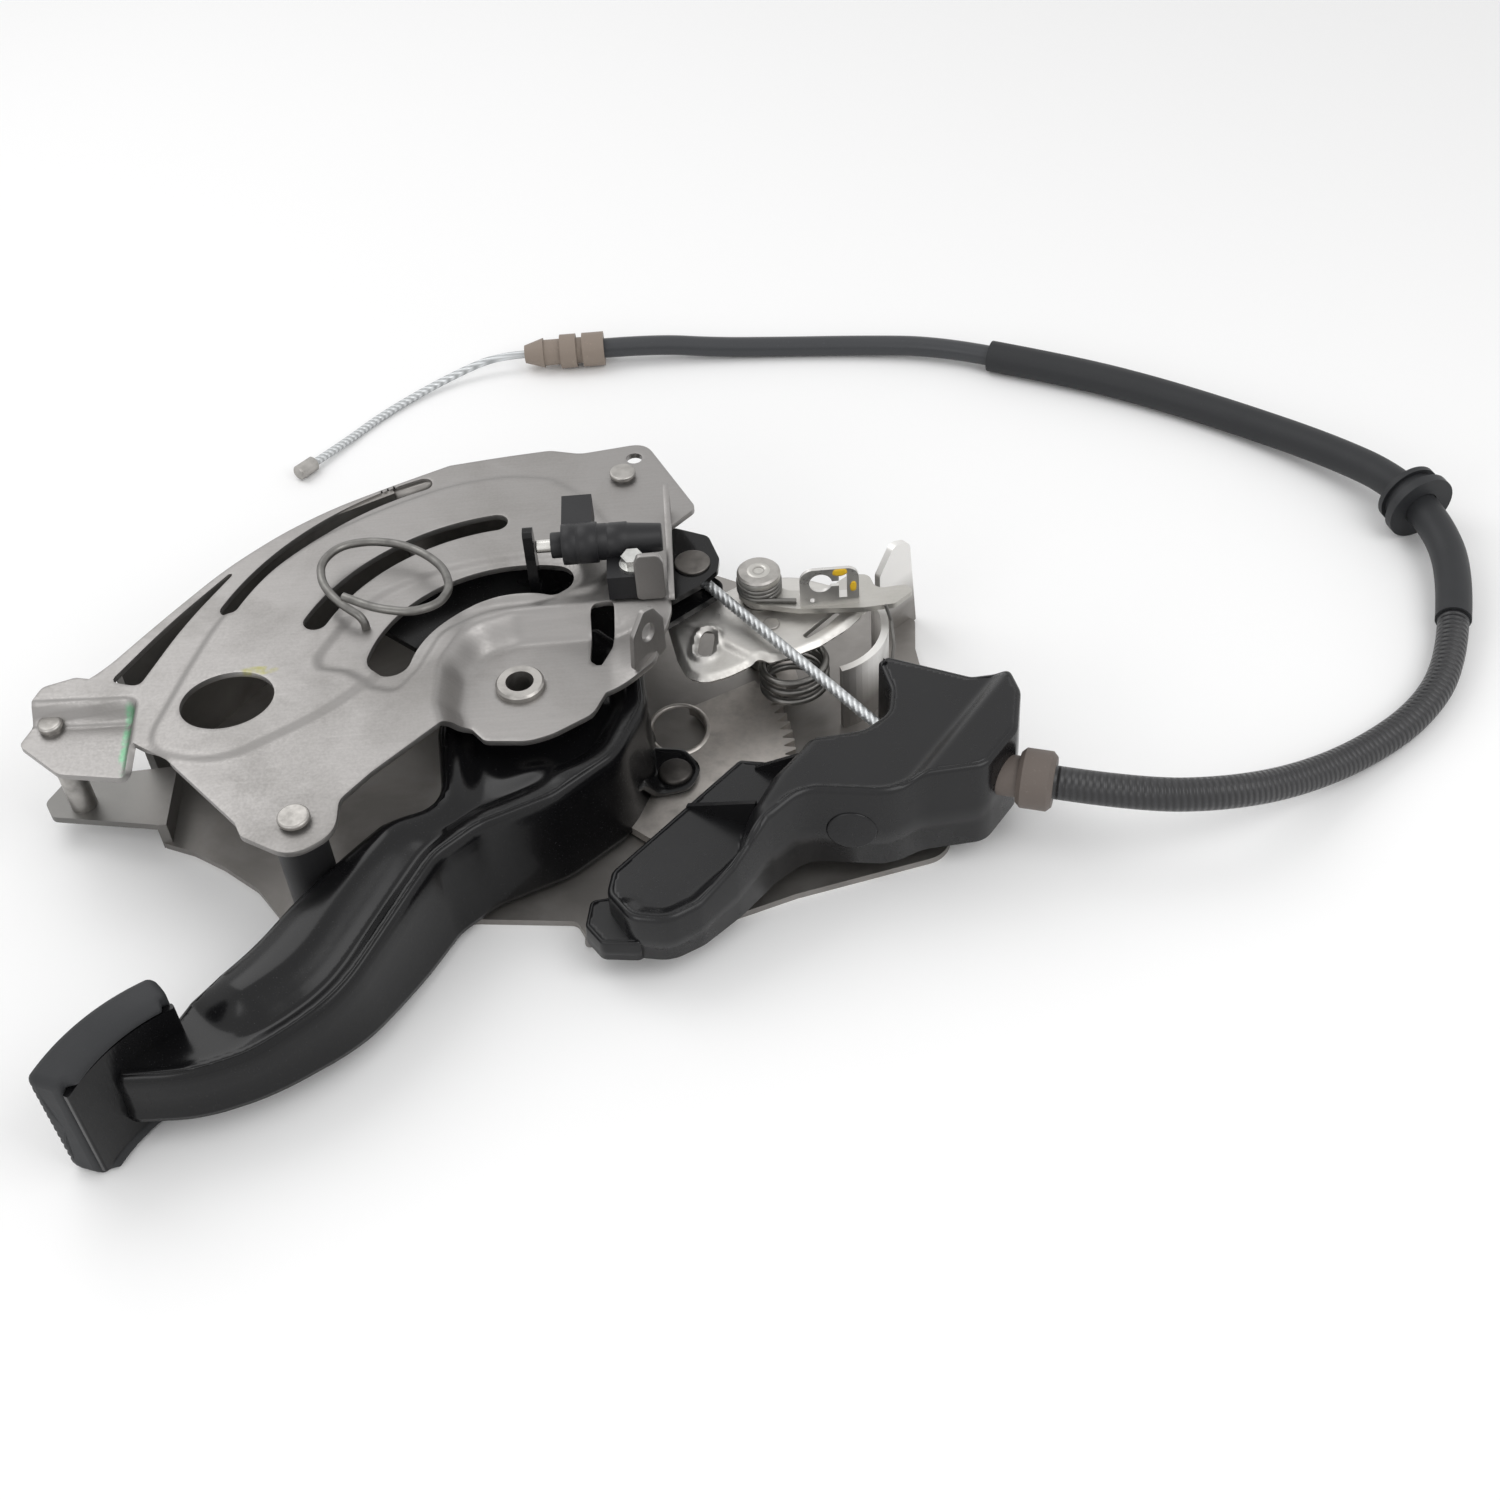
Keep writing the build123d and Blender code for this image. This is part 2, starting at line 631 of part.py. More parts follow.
def cable_clip():
    """Bright folded clip that takes the release cable: an upright plate on a rolled foot."""
    left, right = pawl_place[0] + 16.0, pawl_place[0] + 40.0
    front = pawl_place[1] - 13.5
    profile = rounded([
        (left, 0, 0.4), (right, 0, 0.4), (right, clip_height, 5), (left, clip_height, 6),
    ])
    profile -= Pos(left + 8.5, clip_height - 7.0) * Circle(4.6)
    profile -= Pos(left + 17.5, clip_height - 9.0) * Rectangle(3.2, 12.5)
    profile -= Pos(left + 12.5, clip_height - 7.6) * Rectangle(8, 2.6)
    profile -= Pos(left + 5.0, 3.2) * Circle(1.1)
    plate = Pos(0, front + clip_sheet, lever_top) * (Plane.XZ * extrude(profile, amount=clip_sheet))
    foot = block((left + right) / 2, front + 3.0 + clip_sheet / 2, lever_top, right - left, 6.0, clip_sheet)
    return plate + foot


def torsion_spring():
    """Close-wound turns on the sleeve with an arm that hooks in the clip."""
    start = lever_top + spring_wire + 0.1
    x, y = pawl_place
    radius = pawl_outer + spring_wire + 0.15
    coil = None
    for index in range(spring_turns):
        turn = Pos(x, y, start + index * 1.9 * spring_wire) * Torus(radius, spring_wire)
        coil = turn if coil is None else coil + turn
    leg_run = Line((x, y - radius, start), (x + 14.5, y - radius - 2, start))
    leg = sweep(Plane(leg_run @ 0, z_dir=leg_run % 0) * Circle(spring_wire), path=leg_run)
    return coil + leg


def control_plate():
    """Pressed plate over the teeth, on the lower plate's rear wall and the pawl pin."""
    face = rounded(around(pawl_place, [
        (-40.5, -0.5, 3), (-35.5, -30.5, 10), (-32.5, -39.5, 5), (-25.5, -44, 8), (-15.5, -41.5), (-7.5, -37, 6),
        (-2.5, -34, 3), (1.5, -37, 3), (10.5, -34.5, 20), (22.5, -29.5, 20), (34.5, -20.5, 12), (45.5, -8.5, 4),
        (40.5, 1.5, 8), (16.5, 13.5, 14),
        (-1.5, 15.5, 8), (-17.5, 5.5, 12),
    ]))
    plate = slab(face, control_under, control_sheet)
    for x, y, turn, length in ((21.5, -22.5, 35, 24), (-23.5, -23.0, 80, 9)):
        slot = Pos(pawl_place[0] + x, pawl_place[1] + y) * Rot(0, 0, turn) * SlotOverall(length, 5)
        plate -= slab(slot, control_under - 1, control_sheet + 2)
    plate -= post(*pawl_place, 0, control_level + 5, pawl_outer + free_gap)
    return plate - post(*control_rivet_place, 0, control_level + 5, control_rivet_radius + rivet_clearance)


control_rivet_place = (pawl_place[0] + 3.5, pawl_place[1] - 16.5)
control_rivet_radius = 2.0


def control_rivet():
    rivet = post(*control_rivet_place, control_under, control_sheet, control_rivet_radius)
    head = post(*control_rivet_place, control_level, 1.0, control_rivet_radius + 1.5)
    tail = post(*control_rivet_place, control_under - 1.0, 1.0, control_rivet_radius + 1.2)
    return rivet + fillet(head.edges().group_by(Axis.Z)[-1], 0.5) + tail


def hook_spring():
    """Fine wire from a hole in the rear wall up to the lever's front edge."""
    x, y = wall_hole
    path = FilletPolyline(
        (x - 4, y + 2, wall_hole_level), (x + 4, y - 2, wall_hole_level), (x + 5.5, y + 3, 30), (x + 5, y + 9, 38),
        (x + 3, y + 11.2, 44.6), radius=1.2)
    return sweep(Plane(path @ 0, z_dir=path % 0) * Circle(hook_radius), path=path)


# Lamp switch
switch_block_top = upper_level + 11.0
finger_face = finger_x + free_gap


def along_x(start, end, radius, y=switch_line, z=switch_level):
    return Pos(start, y, z) * Rot(0, 90, 0) * Cylinder(radius, end - start, align=(Align.CENTER, Align.CENTER, Align.MIN))


def switch_body():
    body = along_x(19, 33, switch_radius)
    body += along_x(33, 45, switch_radius - 1.0)
    body += along_x(45, 58, switch_radius - 2.6)
    body += along_x(14.5, 19, plunger_radius + 2.4)
    body += block(25, switch_line + 11, switch_level - 6, 12, 24, 12)
    body += block(45, switch_line - 9, upper_level, 18, 20, switch_block_top - upper_level)
    body -= along_x(10, 30, plunger_radius + hinge_clearance)
    body -= block(25, switch_line + 20, switch_level - 4.5, 9, 14, 9)
    return body - post(*switch_screw_place, upper_level - 5, 20, switch_screw_radius + rivet_clearance)


switch_screw_place = (46.5, 40.0)
switch_screw_radius = 2.5


def switch_plunger():
    plunger = along_x(finger_face, 26.0, plunger_radius)
    return fillet(plunger.edges().filter_by(GeomType.CIRCLE).sort_by(Axis.X)[0], 0.8)


def switch_screw():
    screw = post(*switch_screw_place, upper_level, switch_block_top - upper_level, switch_screw_radius)
    flange = post(*switch_screw_place, switch_block_top, 1.2, 5.5)
    head = Pos(*switch_screw_place, switch_block_top + 1.2) * extrude(RegularPolygon(4.6, 6), amount=4.2)
    return screw + flange + chamfer(head.edges().group_by(Axis.Z)[-1], 0.5)


# Cover
fitting_place = (171.0, -43.0)
cover_feet = [(54.0, -79.0, cover_floor), (150.0, -48.0, cover_top)]


def cover_high():
    return rounded([
        (139, 6, 2), (143, 9, 3), (174, -6, 6), (188, -5, 8), (191, -20, 10), (187, -40, 10), (173, -58, 10),
        (149, -60, 20), (136, -66, 20), (105, -61, 12), (97, -66), (81, -81, 3), (88, -46, 4),
        (106, -33, 4), (113, -32, 8), (130, -30, 12), (140, -22, 8), (142, -10, 10),
    ])


def cover_low():
    return rounded([
        (92, -70, 4), (78, -86), (64, -98), (52, -104), (38, -101, 5), (30, -86, 3), (32, -76, 3), (82, -24, 3),
        (108, -30, 3), (110, -50, 4),
    ])


def cover():
    high, low = cover_high(), cover_low()
    shell = slab(high, cover_bottom, cover_top - cover_bottom)
    shell = fillet(shell.edges().group_by(Axis.Z)[-1], 1.5)
    shell += slab(low, cover_bottom, cover_floor - cover_bottom)
    room_high = slab(offset(high, -cover_wall), 0, cover_top - cover_wall)
    room_low = slab(offset(low, -cover_wall), 0, cover_floor - cover_wall)
    for shift in (0, 2, 4, 6):
        shell -= Pos(-shift, shift, 0) * room_high
        shell -= Pos(-shift, shift, 0) * room_low
    shell += cover_ribs()
    shell += cover_disc()
    for x, y, roof in cover_feet:
        shell += post(x, y, lower_sheet, roof - cover_wall / 2 - lower_sheet, 4.0)
    bore = Pos(*fitting_place, fitting_level) * Rot(0, 0, fitting_turn) * Rot(0, 90, 0) * Cylinder(9.4, 60)
    return shell - bore


def cover_ribs():
    """Two gussets between the low floor and the high block."""
    ribs = None
    for x, y, length in ((88, -38, 16), (80, -62, 16)):
        profile = Polygon((0, 0), (length, 0), (length, 12), align=None)
        rib = Pos(x - length, y + 1, cover_floor - 0.5) * (Plane.XZ * extrude(profile, amount=1.6))
        ribs = rib if ribs is None else ribs + rib
    return ribs


def cover_disc():
    disc = Cylinder(9.5, 2.0)
    return Pos(122, -64.5, 30) * Rot(0, 0, -8) * Rot(90, 0, 0) * disc


# Front cable
def toward_fitting(distance, radius, length):
    axis = Rot(0, 0, fitting_turn) * Rot(0, 90, 0)
    heading = Vector(1, 0, 0).rotate(Axis.Z, fitting_turn) * distance
    place = Pos(fitting_place[0] + heading.X, fitting_place[1] + heading.Y, fitting_level)
    return place * axis * Cylinder(radius, length, align=(Align.CENTER, Align.CENTER, Align.MIN))


def near_fitting():
    """End fitting of the conduit: barrel through the cover, neck and chamfered collar."""
    body = toward_fitting(-8, 9.0, 16) + toward_fitting(8, 8.0, collar_start - 8)
    collar = toward_fitting(collar_start, collar_radius, collar_end - collar_start)
    return body + chamfer(collar.edges().filter_by(GeomType.CIRCLE), 1.8)


def along_fitting(distance):
    heading = Vector(1, 0, 0).rotate(Axis.Z, fitting_turn) * distance
    return Vector(fitting_place[0] + heading.X, fitting_place[1] + heading.Y, fitting_level)


def wire_run():
    """Inner wire, drawn straight from its eye and bent into the fitting."""
    corner = along_fitting(-20)
    anchor = Vector(*anchor_place, wire_level)
    start = anchor + (corner - anchor).normalized() * (eye_radius + free_gap)
    path = FilletPolyline(start, corner, along_fitting(-8), radius=5 * wire_radius * 2)
    return sweep(Plane(path @ 0, z_dir=path % 0) * Circle(wire_radius), path=path)


def beyond(route, distance):
    """Point past the end of a route, in line with its last run."""
    last = Vector(*route[-1])
    return tuple(last + (last - Vector(*route[-2])).normalized() * distance)


ribbed_route = [
    tuple(along_fitting(collar_end)), tuple(along_fitting(collar_end + 33)), (264, -59.5, 29), (297, -43, 15),
    (329, -24, 7.0), (356.5, -5, 6.6), (376.2, 20.3, 7.4), (384.3, 45.3, 9.3),
]
sleeve_route = [
    ribbed_route[-1], beyond(ribbed_route, 28), (392.6, 99.5, 14.7), (382.5, 130, 16.5), (362, 160, 12.0),
    (331, 192, 8.0), (294, 220, 7.6), (257, 242, 8.0), (220, 260.5, 7.5),
]
thin_route = [
    sleeve_route[-1], beyond(sleeve_route, 28), (157, 281.5, 5.2), (118, 286, 4.95), (84, 289, 5.8),
    (56, 291.5, 8.6), (29, 291.5, 8.6),
]
bare_route = [
    (-11, 291.5, 8.6), (-26, 291.5, 8.6), (-46, 285, 4.6), (-66, 272.5, 2.4), (-84, 256, 2.1), (-98, 239, 2.2),
    (-112, 222, 3.7),
]


def tangent_radii(route):
    """Largest radii at a route's corners that leave straight runs between them."""
    points = [Vector(*point) for point in route]
    radii = []
    for before, corner, after in zip(points, points[1:], points[2:]):
        turn = (corner - before).get_angle(after - corner)
        shorter = min((corner - before).length, (after - corner).length)
        radii.append(0.45 * shorter / math.tan(math.radians(turn / 2)))
    return radii


def cord(route, radius, name):
    """Tube of straight runs and tangent arcs."""
    radii = tangent_radii(route)
    path = FilletPolyline(*route, radius=radii)
    tube = sweep(Plane(path @ 0, z_dir=path % 0) * Circle(radius), path=path)
    expected = math.pi * radius ** 2 * path.length
    print(name, "radii in diameters", [round(value / radius / 2, 1) for value in radii],
          "length", round(path.length, 1), "volume ratio", round(tube.volume / expected, 4))
    return tube


def route_frame(first, second, share):
    """Place and heading on a run of a route."""
    start, end = Vector(*first), Vector(*second)
    return Plane(start + (end - start) * share, z_dir=(end - start).normalized())


def grommet():
    """Flanged rubber ring that seals the sleeve in the floor panel."""
    frame = route_frame(sleeve_route[2], sleeve_route[3], 0.5)
    ring = Pos(0, 0, -2) * Cylinder(15.5, 4) + Pos(0, 0, 2.5) * Cylinder(12.0, 9)
    ring += Pos(0, 0, 6.5) * Cylinder(14.0, 2.5)
    ring = ring - Cylinder(sleeve_radius + 0.3, 40)
    return frame * ring


def far_fitting():
    """Barbed end fitting of the conduit, with a groove for its clip."""
    frame = route_frame(thin_route[-1], bare_route[0], 0.0)
    length = thin_route[-1][0] - bare_route[0][0]
    shape = Pos(0, 0, 0.27 * length / 2) * Cylinder(8.4, 0.27 * length)
    shape += Pos(0, 0, 0.31 * length) * Cylinder(6.4, 0.12 * length)
    shape += Pos(0, 0, 0.45 * length) * Cylinder(8.4, 0.2 * length)
    shape += Pos(0, 0, 0.68 * length) * Cylinder(6.4, 0.3 * length)
    shape += Pos(0, 0, 0.88 * length) * Cone(7.4, 4.4, 0.24 * length)
    return frame * shape


def end_slug():
    """Swaged cylinder on the bare end."""
    slug = Cylinder(3.6, 11, align=(Align.CENTER, Align.CENTER, Align.MIN))
    slug = chamfer(slug.edges().filter_by(GeomType.CIRCLE), 0.6)
    return route_frame(bare_route[-2], bare_route[-1], 1.0) * slug


def pigtail():
    """Loose hook of the return spring, through a hole in the fan."""
    route = [(x, y, upper_level + rise) for x, y, rise in pigtail_route]
    path = FilletPolyline(*route, radius=tangent_radii(route))
    return sweep(Plane(path @ 0, z_dir=path % 0) * Circle(pigtail_radius), path=path)


nodes = {
    "upper_plate": upper_plate,
    "lower_plate": lower_plate,
    "pivot_tube": pivot_tube,
    "standoff_pin": standoff_pin,
    "front_bumper": bumper,
    "bumper_rivet": bumper_rivet,
    "rear_post": rear_post,
    "pigtail_wire": pigtail,
    "pedal_arm": pedal_arm,
    "anchor_web": anchor_web,
    "switch_finger": switch_finger,
    "hub_sleeve": hub_sleeve,
    "pad_plate": pad_plate,
    "pedal_pad": pedal_pad,
    "toothed_sector": toothed_sector,
    "sector_rivet": sector_rivet,
    "anchor_keeper": anchor_keeper,
    "keeper_spacer": keeper_spacer,
    "anchor_pin": anchor_pin,
    "wire_eye": wire_eye,
    "inner_wire": wire_run,
    "pawl_pin": pawl_pin,
    "pawl": pawl,
    "pawl_sleeve": pawl_sleeve,
    "release_lever": release_lever,
    "cable_clip": cable_clip,
    "torsion_spring": torsion_spring,
    "control_plate": control_plate,
    "control_rivet": control_rivet,
    "hook_spring": hook_spring,
    "switch_body": switch_body,
    "switch_plunger": switch_plunger,
    "switch_screw": switch_screw,
    "plastic_cover": cover,
    "near_fitting": near_fitting,
    "ribbed_conduit": lambda: cord(ribbed_route, ribbed_radius, "ribbed"),
    "cable_sleeve": lambda: cord(sleeve_route, sleeve_radius, "sleeve"),
    "grommet": grommet,
    "thin_conduit": lambda: cord(thin_route, conduit_radius, "thin"),
    "far_fitting": far_fitting,
    "bare_wire": lambda: cord(bare_route, bare_radius, "bare"),
    "end_slug": end_slug,
}

for name, make in nodes.items():
    solid = make()
    export_step(solid, f"parts/{name}.step")
    print(name, len(solid.solids()), round(solid.volume))
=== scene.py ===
import bpy
import json
import math
import numpy as np
from mathutils import Matrix, Vector


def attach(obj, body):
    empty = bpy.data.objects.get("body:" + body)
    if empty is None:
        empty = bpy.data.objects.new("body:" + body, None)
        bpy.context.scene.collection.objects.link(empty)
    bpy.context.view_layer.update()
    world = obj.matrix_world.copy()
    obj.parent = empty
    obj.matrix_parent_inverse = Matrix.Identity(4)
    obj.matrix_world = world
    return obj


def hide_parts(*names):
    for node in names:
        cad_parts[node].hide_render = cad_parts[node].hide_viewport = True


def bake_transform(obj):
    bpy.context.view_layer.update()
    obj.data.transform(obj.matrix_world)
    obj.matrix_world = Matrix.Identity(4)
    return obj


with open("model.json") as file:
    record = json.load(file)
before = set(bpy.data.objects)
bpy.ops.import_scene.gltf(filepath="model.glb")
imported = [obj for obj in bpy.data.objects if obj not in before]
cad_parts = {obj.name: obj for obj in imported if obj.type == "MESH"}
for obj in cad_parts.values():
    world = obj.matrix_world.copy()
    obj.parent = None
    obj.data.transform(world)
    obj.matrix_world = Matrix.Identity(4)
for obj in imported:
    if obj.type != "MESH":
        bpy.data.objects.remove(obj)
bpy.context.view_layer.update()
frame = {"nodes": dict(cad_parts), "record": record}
mm = 0.001


# camera, floor and light
view = {"tilt": 46.0, "roll": -4.5, "place": (86.4, -559.0, 590.0), "lens": 48.0}


def aimCamera():
    tilt, roll = math.radians(view["tilt"]), math.radians(view["roll"])
    forward = Vector((0, math.cos(tilt), -math.sin(tilt)))
    upright = Vector((0, math.sin(tilt), math.cos(tilt)))
    side = Vector((1, 0, 0))
    right = side * math.cos(roll) + upright * math.sin(roll)
    top = upright * math.cos(roll) - side * math.sin(roll)
    data = bpy.data.cameras.new("camera")
    data.lens = view["lens"]
    data.sensor_width = 36
    data.clip_start, data.clip_end = 0.01, 20
    camera = bpy.data.objects.new("camera", data)
    place = Vector(view["place"]) * mm
    camera.matrix_world = Matrix([(*row, spot) for row, spot in zip(
        zip(right, top, -forward), place)] + [(0, 0, 0, 1)])
    bpy.context.collection.objects.link(camera)
    bpy.context.scene.camera = camera


studio = {
    "floorColor": (0.97, 0.97, 0.97, 1), "floorHalf": 3.0, "skyColor": (1, 1, 1, 1), "skyStrength": 0.70,
    "lamps": [  # place, aim, size, watts
        ((-500, 500, 900), (-40, 20, 30), 760, 2.9),
        ((600, -350, 800), (40, 0, 20), 600, 2.4),
        ((-450, -650, 500), (-60, -60, 20), 380, 1.0),
    ],
}


def lightTheStudio():
    for number, (place, aim, size, watts) in enumerate(studio["lamps"]):
        data = bpy.data.lights.new(f"softbox{number}", "AREA")
        data.size, data.energy = size * mm, watts
        lamp = bpy.data.objects.new(f"softbox{number}", data)
        lamp.location = Vector(place) * mm
        lamp.rotation_euler = (Vector(aim) - Vector(place)).to_track_quat("-Z", "Y").to_euler()
        bpy.context.collection.objects.link(lamp)
    world = bpy.data.worlds.new("studio")
    bpy.context.scene.world = world
    world.use_nodes = True
    tree = world.node_tree
    back = tree.nodes["Background"]
    back.inputs["Color"].default_value = studio["skyColor"]
    rays = tree.nodes.new("ShaderNodeLightPath")
    seen = rays.outputs["Is Camera Ray"]
    for kind in ("Is Glossy Ray", "Is Transmission Ray"):
        either = tree.nodes.new("ShaderNodeMath")
        either.operation = "MAXIMUM"
        tree.links.new(seen, either.inputs[0])
        tree.links.new(rays.outputs[kind], either.inputs[1])
        seen = either.outputs[0]
    level = tree.nodes.new("ShaderNodeMapRange")
    level.inputs["To Min"].default_value = studio["skyStrength"]
    level.inputs["To Max"].default_value = 1.0
    tree.links.new(seen, level.inputs["Value"])
    tree.links.new(level.outputs[0], back.inputs["Strength"])
    bpy.context.scene.view_settings.view_transform = "Standard"


# shader helper
class Value:
    # a socket that takes part in arithmetic

    def __init__(self, look, socket):
        self.look, self.socket = look, socket

    def combine(self, operation, first, second):
        return self.look.add("ShaderNodeMath", {"operation": operation}, {0: first, 1: second})

    def __add__(self, other):
        return self.combine("ADD", self, other)

    def __radd__(self, other):
        return self.combine("ADD", other, self)

    def __sub__(self, other):
        return self.combine("SUBTRACT", self, other)

    def __rsub__(self, other):
        return self.combine("SUBTRACT", other, self)

    def __mul__(self, other):
        return self.combine("MULTIPLY", self, other)

    def __rmul__(self, other):
        return self.combine("MULTIPLY", other, self)


class Look:
    def __init__(self, name, **fixed):
        self.material = bpy.data.materials.new(name)
        self.material.use_nodes = True
        self.tree = self.material.node_tree
        self.shader = self.tree.nodes["Principled BSDF"]
        for key, number in fixed.items():
            self.shader.inputs[key.replace("_", " ")].default_value = number

    def add(self, kind, settings=None, inputs=None, output=0):
        node = self.tree.nodes.new(kind)
        for key, setting in (settings or {}).items():
            setattr(node, key, setting)
        for key, entry in (inputs or {}).items():
            if isinstance(entry, Value):
                self.tree.links.new(entry.socket, node.inputs[key])
            else:
                node.inputs[key].default_value = entry
        return Value(self, node.outputs[output])

    def feed(self, **links):
        for key, entry in links.items():
            self.tree.links.new(entry.socket, self.shader.inputs[key.replace("_", " ")])
        return self.material

    def place(self, scale=(1, 1, 1), turn=(0, 0, 0)):
        spot = self.add("ShaderNodeTexCoord", output="Object")
        return self.add("ShaderNodeMapping", None, {"Vector": spot, "Rotation": turn, "Scale": scale})

    def noise(self, spot, scale, detail=3.0, rough=0.55, warp=0.0):
        return self.add("ShaderNodeTexNoise", None, {
            "Vector": spot, "Scale": scale, "Detail": detail, "Roughness": rough, "Distortion": warp})

    def span(self, entry, low, high, toLow=0.0, toHigh=1.0):
        return self.add("ShaderNodeMapRange", {"clamp": True}, {
            "Value": entry, "From Min": low, "From Max": high, "To Min": toLow, "To Max": toHigh})

    def blendColors(self, share, first, second):
        return self.add("ShaderNodeMix", {"data_type": "RGBA"}, {"Factor": share, 6: first, 7: second}, 2)

    def axis(self, number):
        return self.add("ShaderNodeSeparateXYZ", None, {"Vector": self.place()}, number)

    def near(self, middle, size):
        # 1 inside an ellipsoid about a place in millimetres, fading to 0 at its skin
        spot = self.add("ShaderNodeVectorMath", {"operation": "SUBTRACT"}, {
            0: self.place(), 1: [part * mm for part in middle]})
        spot = self.add("ShaderNodeVectorMath", {"operation": "DIVIDE"}, {
            0: spot, 1: [part * mm for part in size]})
        length = self.add("ShaderNodeVectorMath", {"operation": "LENGTH"}, {0: spot}, "Value")
        return self.span(length, 0.7, 1.0, 1.0, 0.0)

    def bump(self, height, strength, distance):
        return self.add("ShaderNodeBump", None, {
            "Height": height, "Strength": strength, "Distance": distance})


# finishes
def shade(tone, share, lift=0.0):
    # a colour scaled by a share, with a little added
    return (*[share * part + lift for part in tone[:3]], 1)


def sine(look, phase):
    # a wave from 0 to 1
    return look.add("ShaderNodeMath", {"operation": "SINE"}, {0: phase}) * 0.5 + 0.5


def sheetSteel(name, tone, stain, polish=0.34, marks=()):
    # rolled zinc-coated sheet: fine grain along the rolling direction, cloudy stains and fine scuffs
    look = Look(name, Metallic=0.9)
    grain = look.noise(look.place((60, 900, 60), (0, 0, 0.5)), 1.0, 4.0)
    cloud = look.noise(look.place(), 22.0, 4.0, 0.6, 0.4)
    speck = look.noise(look.place(), 900.0, 2.0)
    scuff = look.span(look.noise(look.place((12, 300, 12), (0, 0, -0.6)), 1.0, 5.0, 0.7), 0.62, 0.72)
    dirt = look.span(cloud, 0.45, 0.75)
    color = look.blendColors(dirt * 0.55, tone, stain)
    color = look.blendColors(look.span(grain, 0.3, 0.7) * 0.14, color, shade(tone, 0.6))
    for middle, size, paint in marks:
        patchy = look.span(look.noise(look.place(), 260.0, 3.0), 0.36, 0.6)
        color = look.blendColors(look.near(middle, size) * patchy * 0.75, color, paint)
    rough = polish + 0.16 * dirt + 0.1 * look.span(speck, 0.35, 0.65) - 0.08 * scuff
    height = grain * 0.5 + speck * 0.5
    return look.feed(Base_Color=color, Roughness=rough, Normal=look.bump(height, 0.16, 0.0002))


def turnedSteel(name, tone, rough=0.28):
    look = Look(name, Metallic=0.95)
    cloud = look.noise(look.place(), 160.0, 4.0)
    speck = look.noise(look.place(), 1400.0, 2.0)
    color = look.blendColors(look.span(cloud, 0.4, 0.75) * 0.6, tone, shade(tone, 0.45))
    return look.feed(Base_Color=color, Roughness=rough + 0.2 * look.span(cloud, 0.35, 0.7),
                     Normal=look.bump(speck, 0.15, 0.00015))


def glossPaint(name):
    # dipped black paint: deep gloss with slight orange peel, dust and a few dull patches
    look = Look(name, Coat_Weight=0.06, Coat_Roughness=0.08, Specular_IOR_Level=0.26)
    peel = look.noise(look.place(), 170.0, 2.0)
    dust = look.span(look.noise(look.place(), 1600.0, 2.0, 0.7), 0.66, 0.74)
    cloud = look.noise(look.place(), 18.0, 3.0)
    color = look.blendColors(dust * 0.25, (0.0045, 0.0045, 0.005, 1), (0.12, 0.12, 0.12, 1))
    rough = 0.17 + 0.12 * look.span(cloud, 0.4, 0.7) + 0.25 * dust
    return look.feed(Base_Color=color, Roughness=rough, Normal=look.bump(peel, 0.1, 0.0004))


def mouldedPlastic(name, tone, rough=0.36, grit=0.2):
    look = Look(name, Specular_IOR_Level=0.36)
    cloud = look.noise(look.place(), 30.0, 4.0)
    grainy = look.noise(look.place(), 1100.0, 3.0)
    dust = look.span(look.noise(look.place(), 700.0, 3.0, 0.7), 0.62, 0.74)
    color = look.blendColors(dust * 0.16, tone, shade(tone, 3, 0.03))
    level = rough + 0.14 * look.span(cloud, 0.35, 0.7) + 0.15 * dust
    return look.feed(Base_Color=color, Roughness=level, Normal=look.bump(grainy, grit, 0.0002))


def litAndShadedSheet(name):
    # sheet of a cloudy warm grey, turning a darker grey at its left tab as painted shade and bright on the
    # fin at its right end as painted light
    look = Look(name, Metallic=0.85)
    cloud = look.noise(look.place(), 26.0, 4.0, 0.6, 0.5)
    speck = look.noise(look.place(), 900.0, 2.0)
    x, z = look.axis(0), look.axis(2)
    # painted shade: the left tab's colour is pulled darker
    left = look.span(x, -0.165, -0.13, 1.0, 0.0)
    fin = look.span(x, 0.122, 0.136) * look.span(z, 0.012, 0.03)
    color = look.blendColors(look.span(cloud, 0.4, 0.7), (0.24, 0.228, 0.216, 1), (0.33, 0.315, 0.30, 1))
    color = look.blendColors(left, color, (0.17, 0.167, 0.16, 1))
    # painted light: the fin's colour is raised close to white
    color = look.blendColors(fin, color, (0.82, 0.81, 0.79, 1))
    rough = 0.32 + 0.14 * cloud + 0.08 * speck
    return look.feed(Base_Color=color, Roughness=rough, Normal=look.bump(speck, 0.14, 0.0002))


def laidWire(name, tone, heading, pitch):
    # twisted strands: slanted stripes across the wire's run, from its own direction in the plan; the stripes
    # darken the colour in the grooves between strands as painted shade
    look = Look(name, Metallic=0.85)
    turn = math.radians(heading)
    along = look.axis(0) * math.cos(turn) + look.axis(1) * math.sin(turn)
    across = look.axis(1) * math.cos(turn) - look.axis(0) * math.sin(turn)
    phase = (along + across * 1.1) * (2 * math.pi / (pitch * mm))
    wave = sine(look, phase)
    # painted shade: darker colour where the bump sinks into the grooves
    color = look.blendColors(wave, shade(tone, 0.6), tone)
    return look.feed(Base_Color=color, Roughness=0.36 + 0.2 * (1 - wave), Normal=look.bump(wave, 0.4, 0.0006))


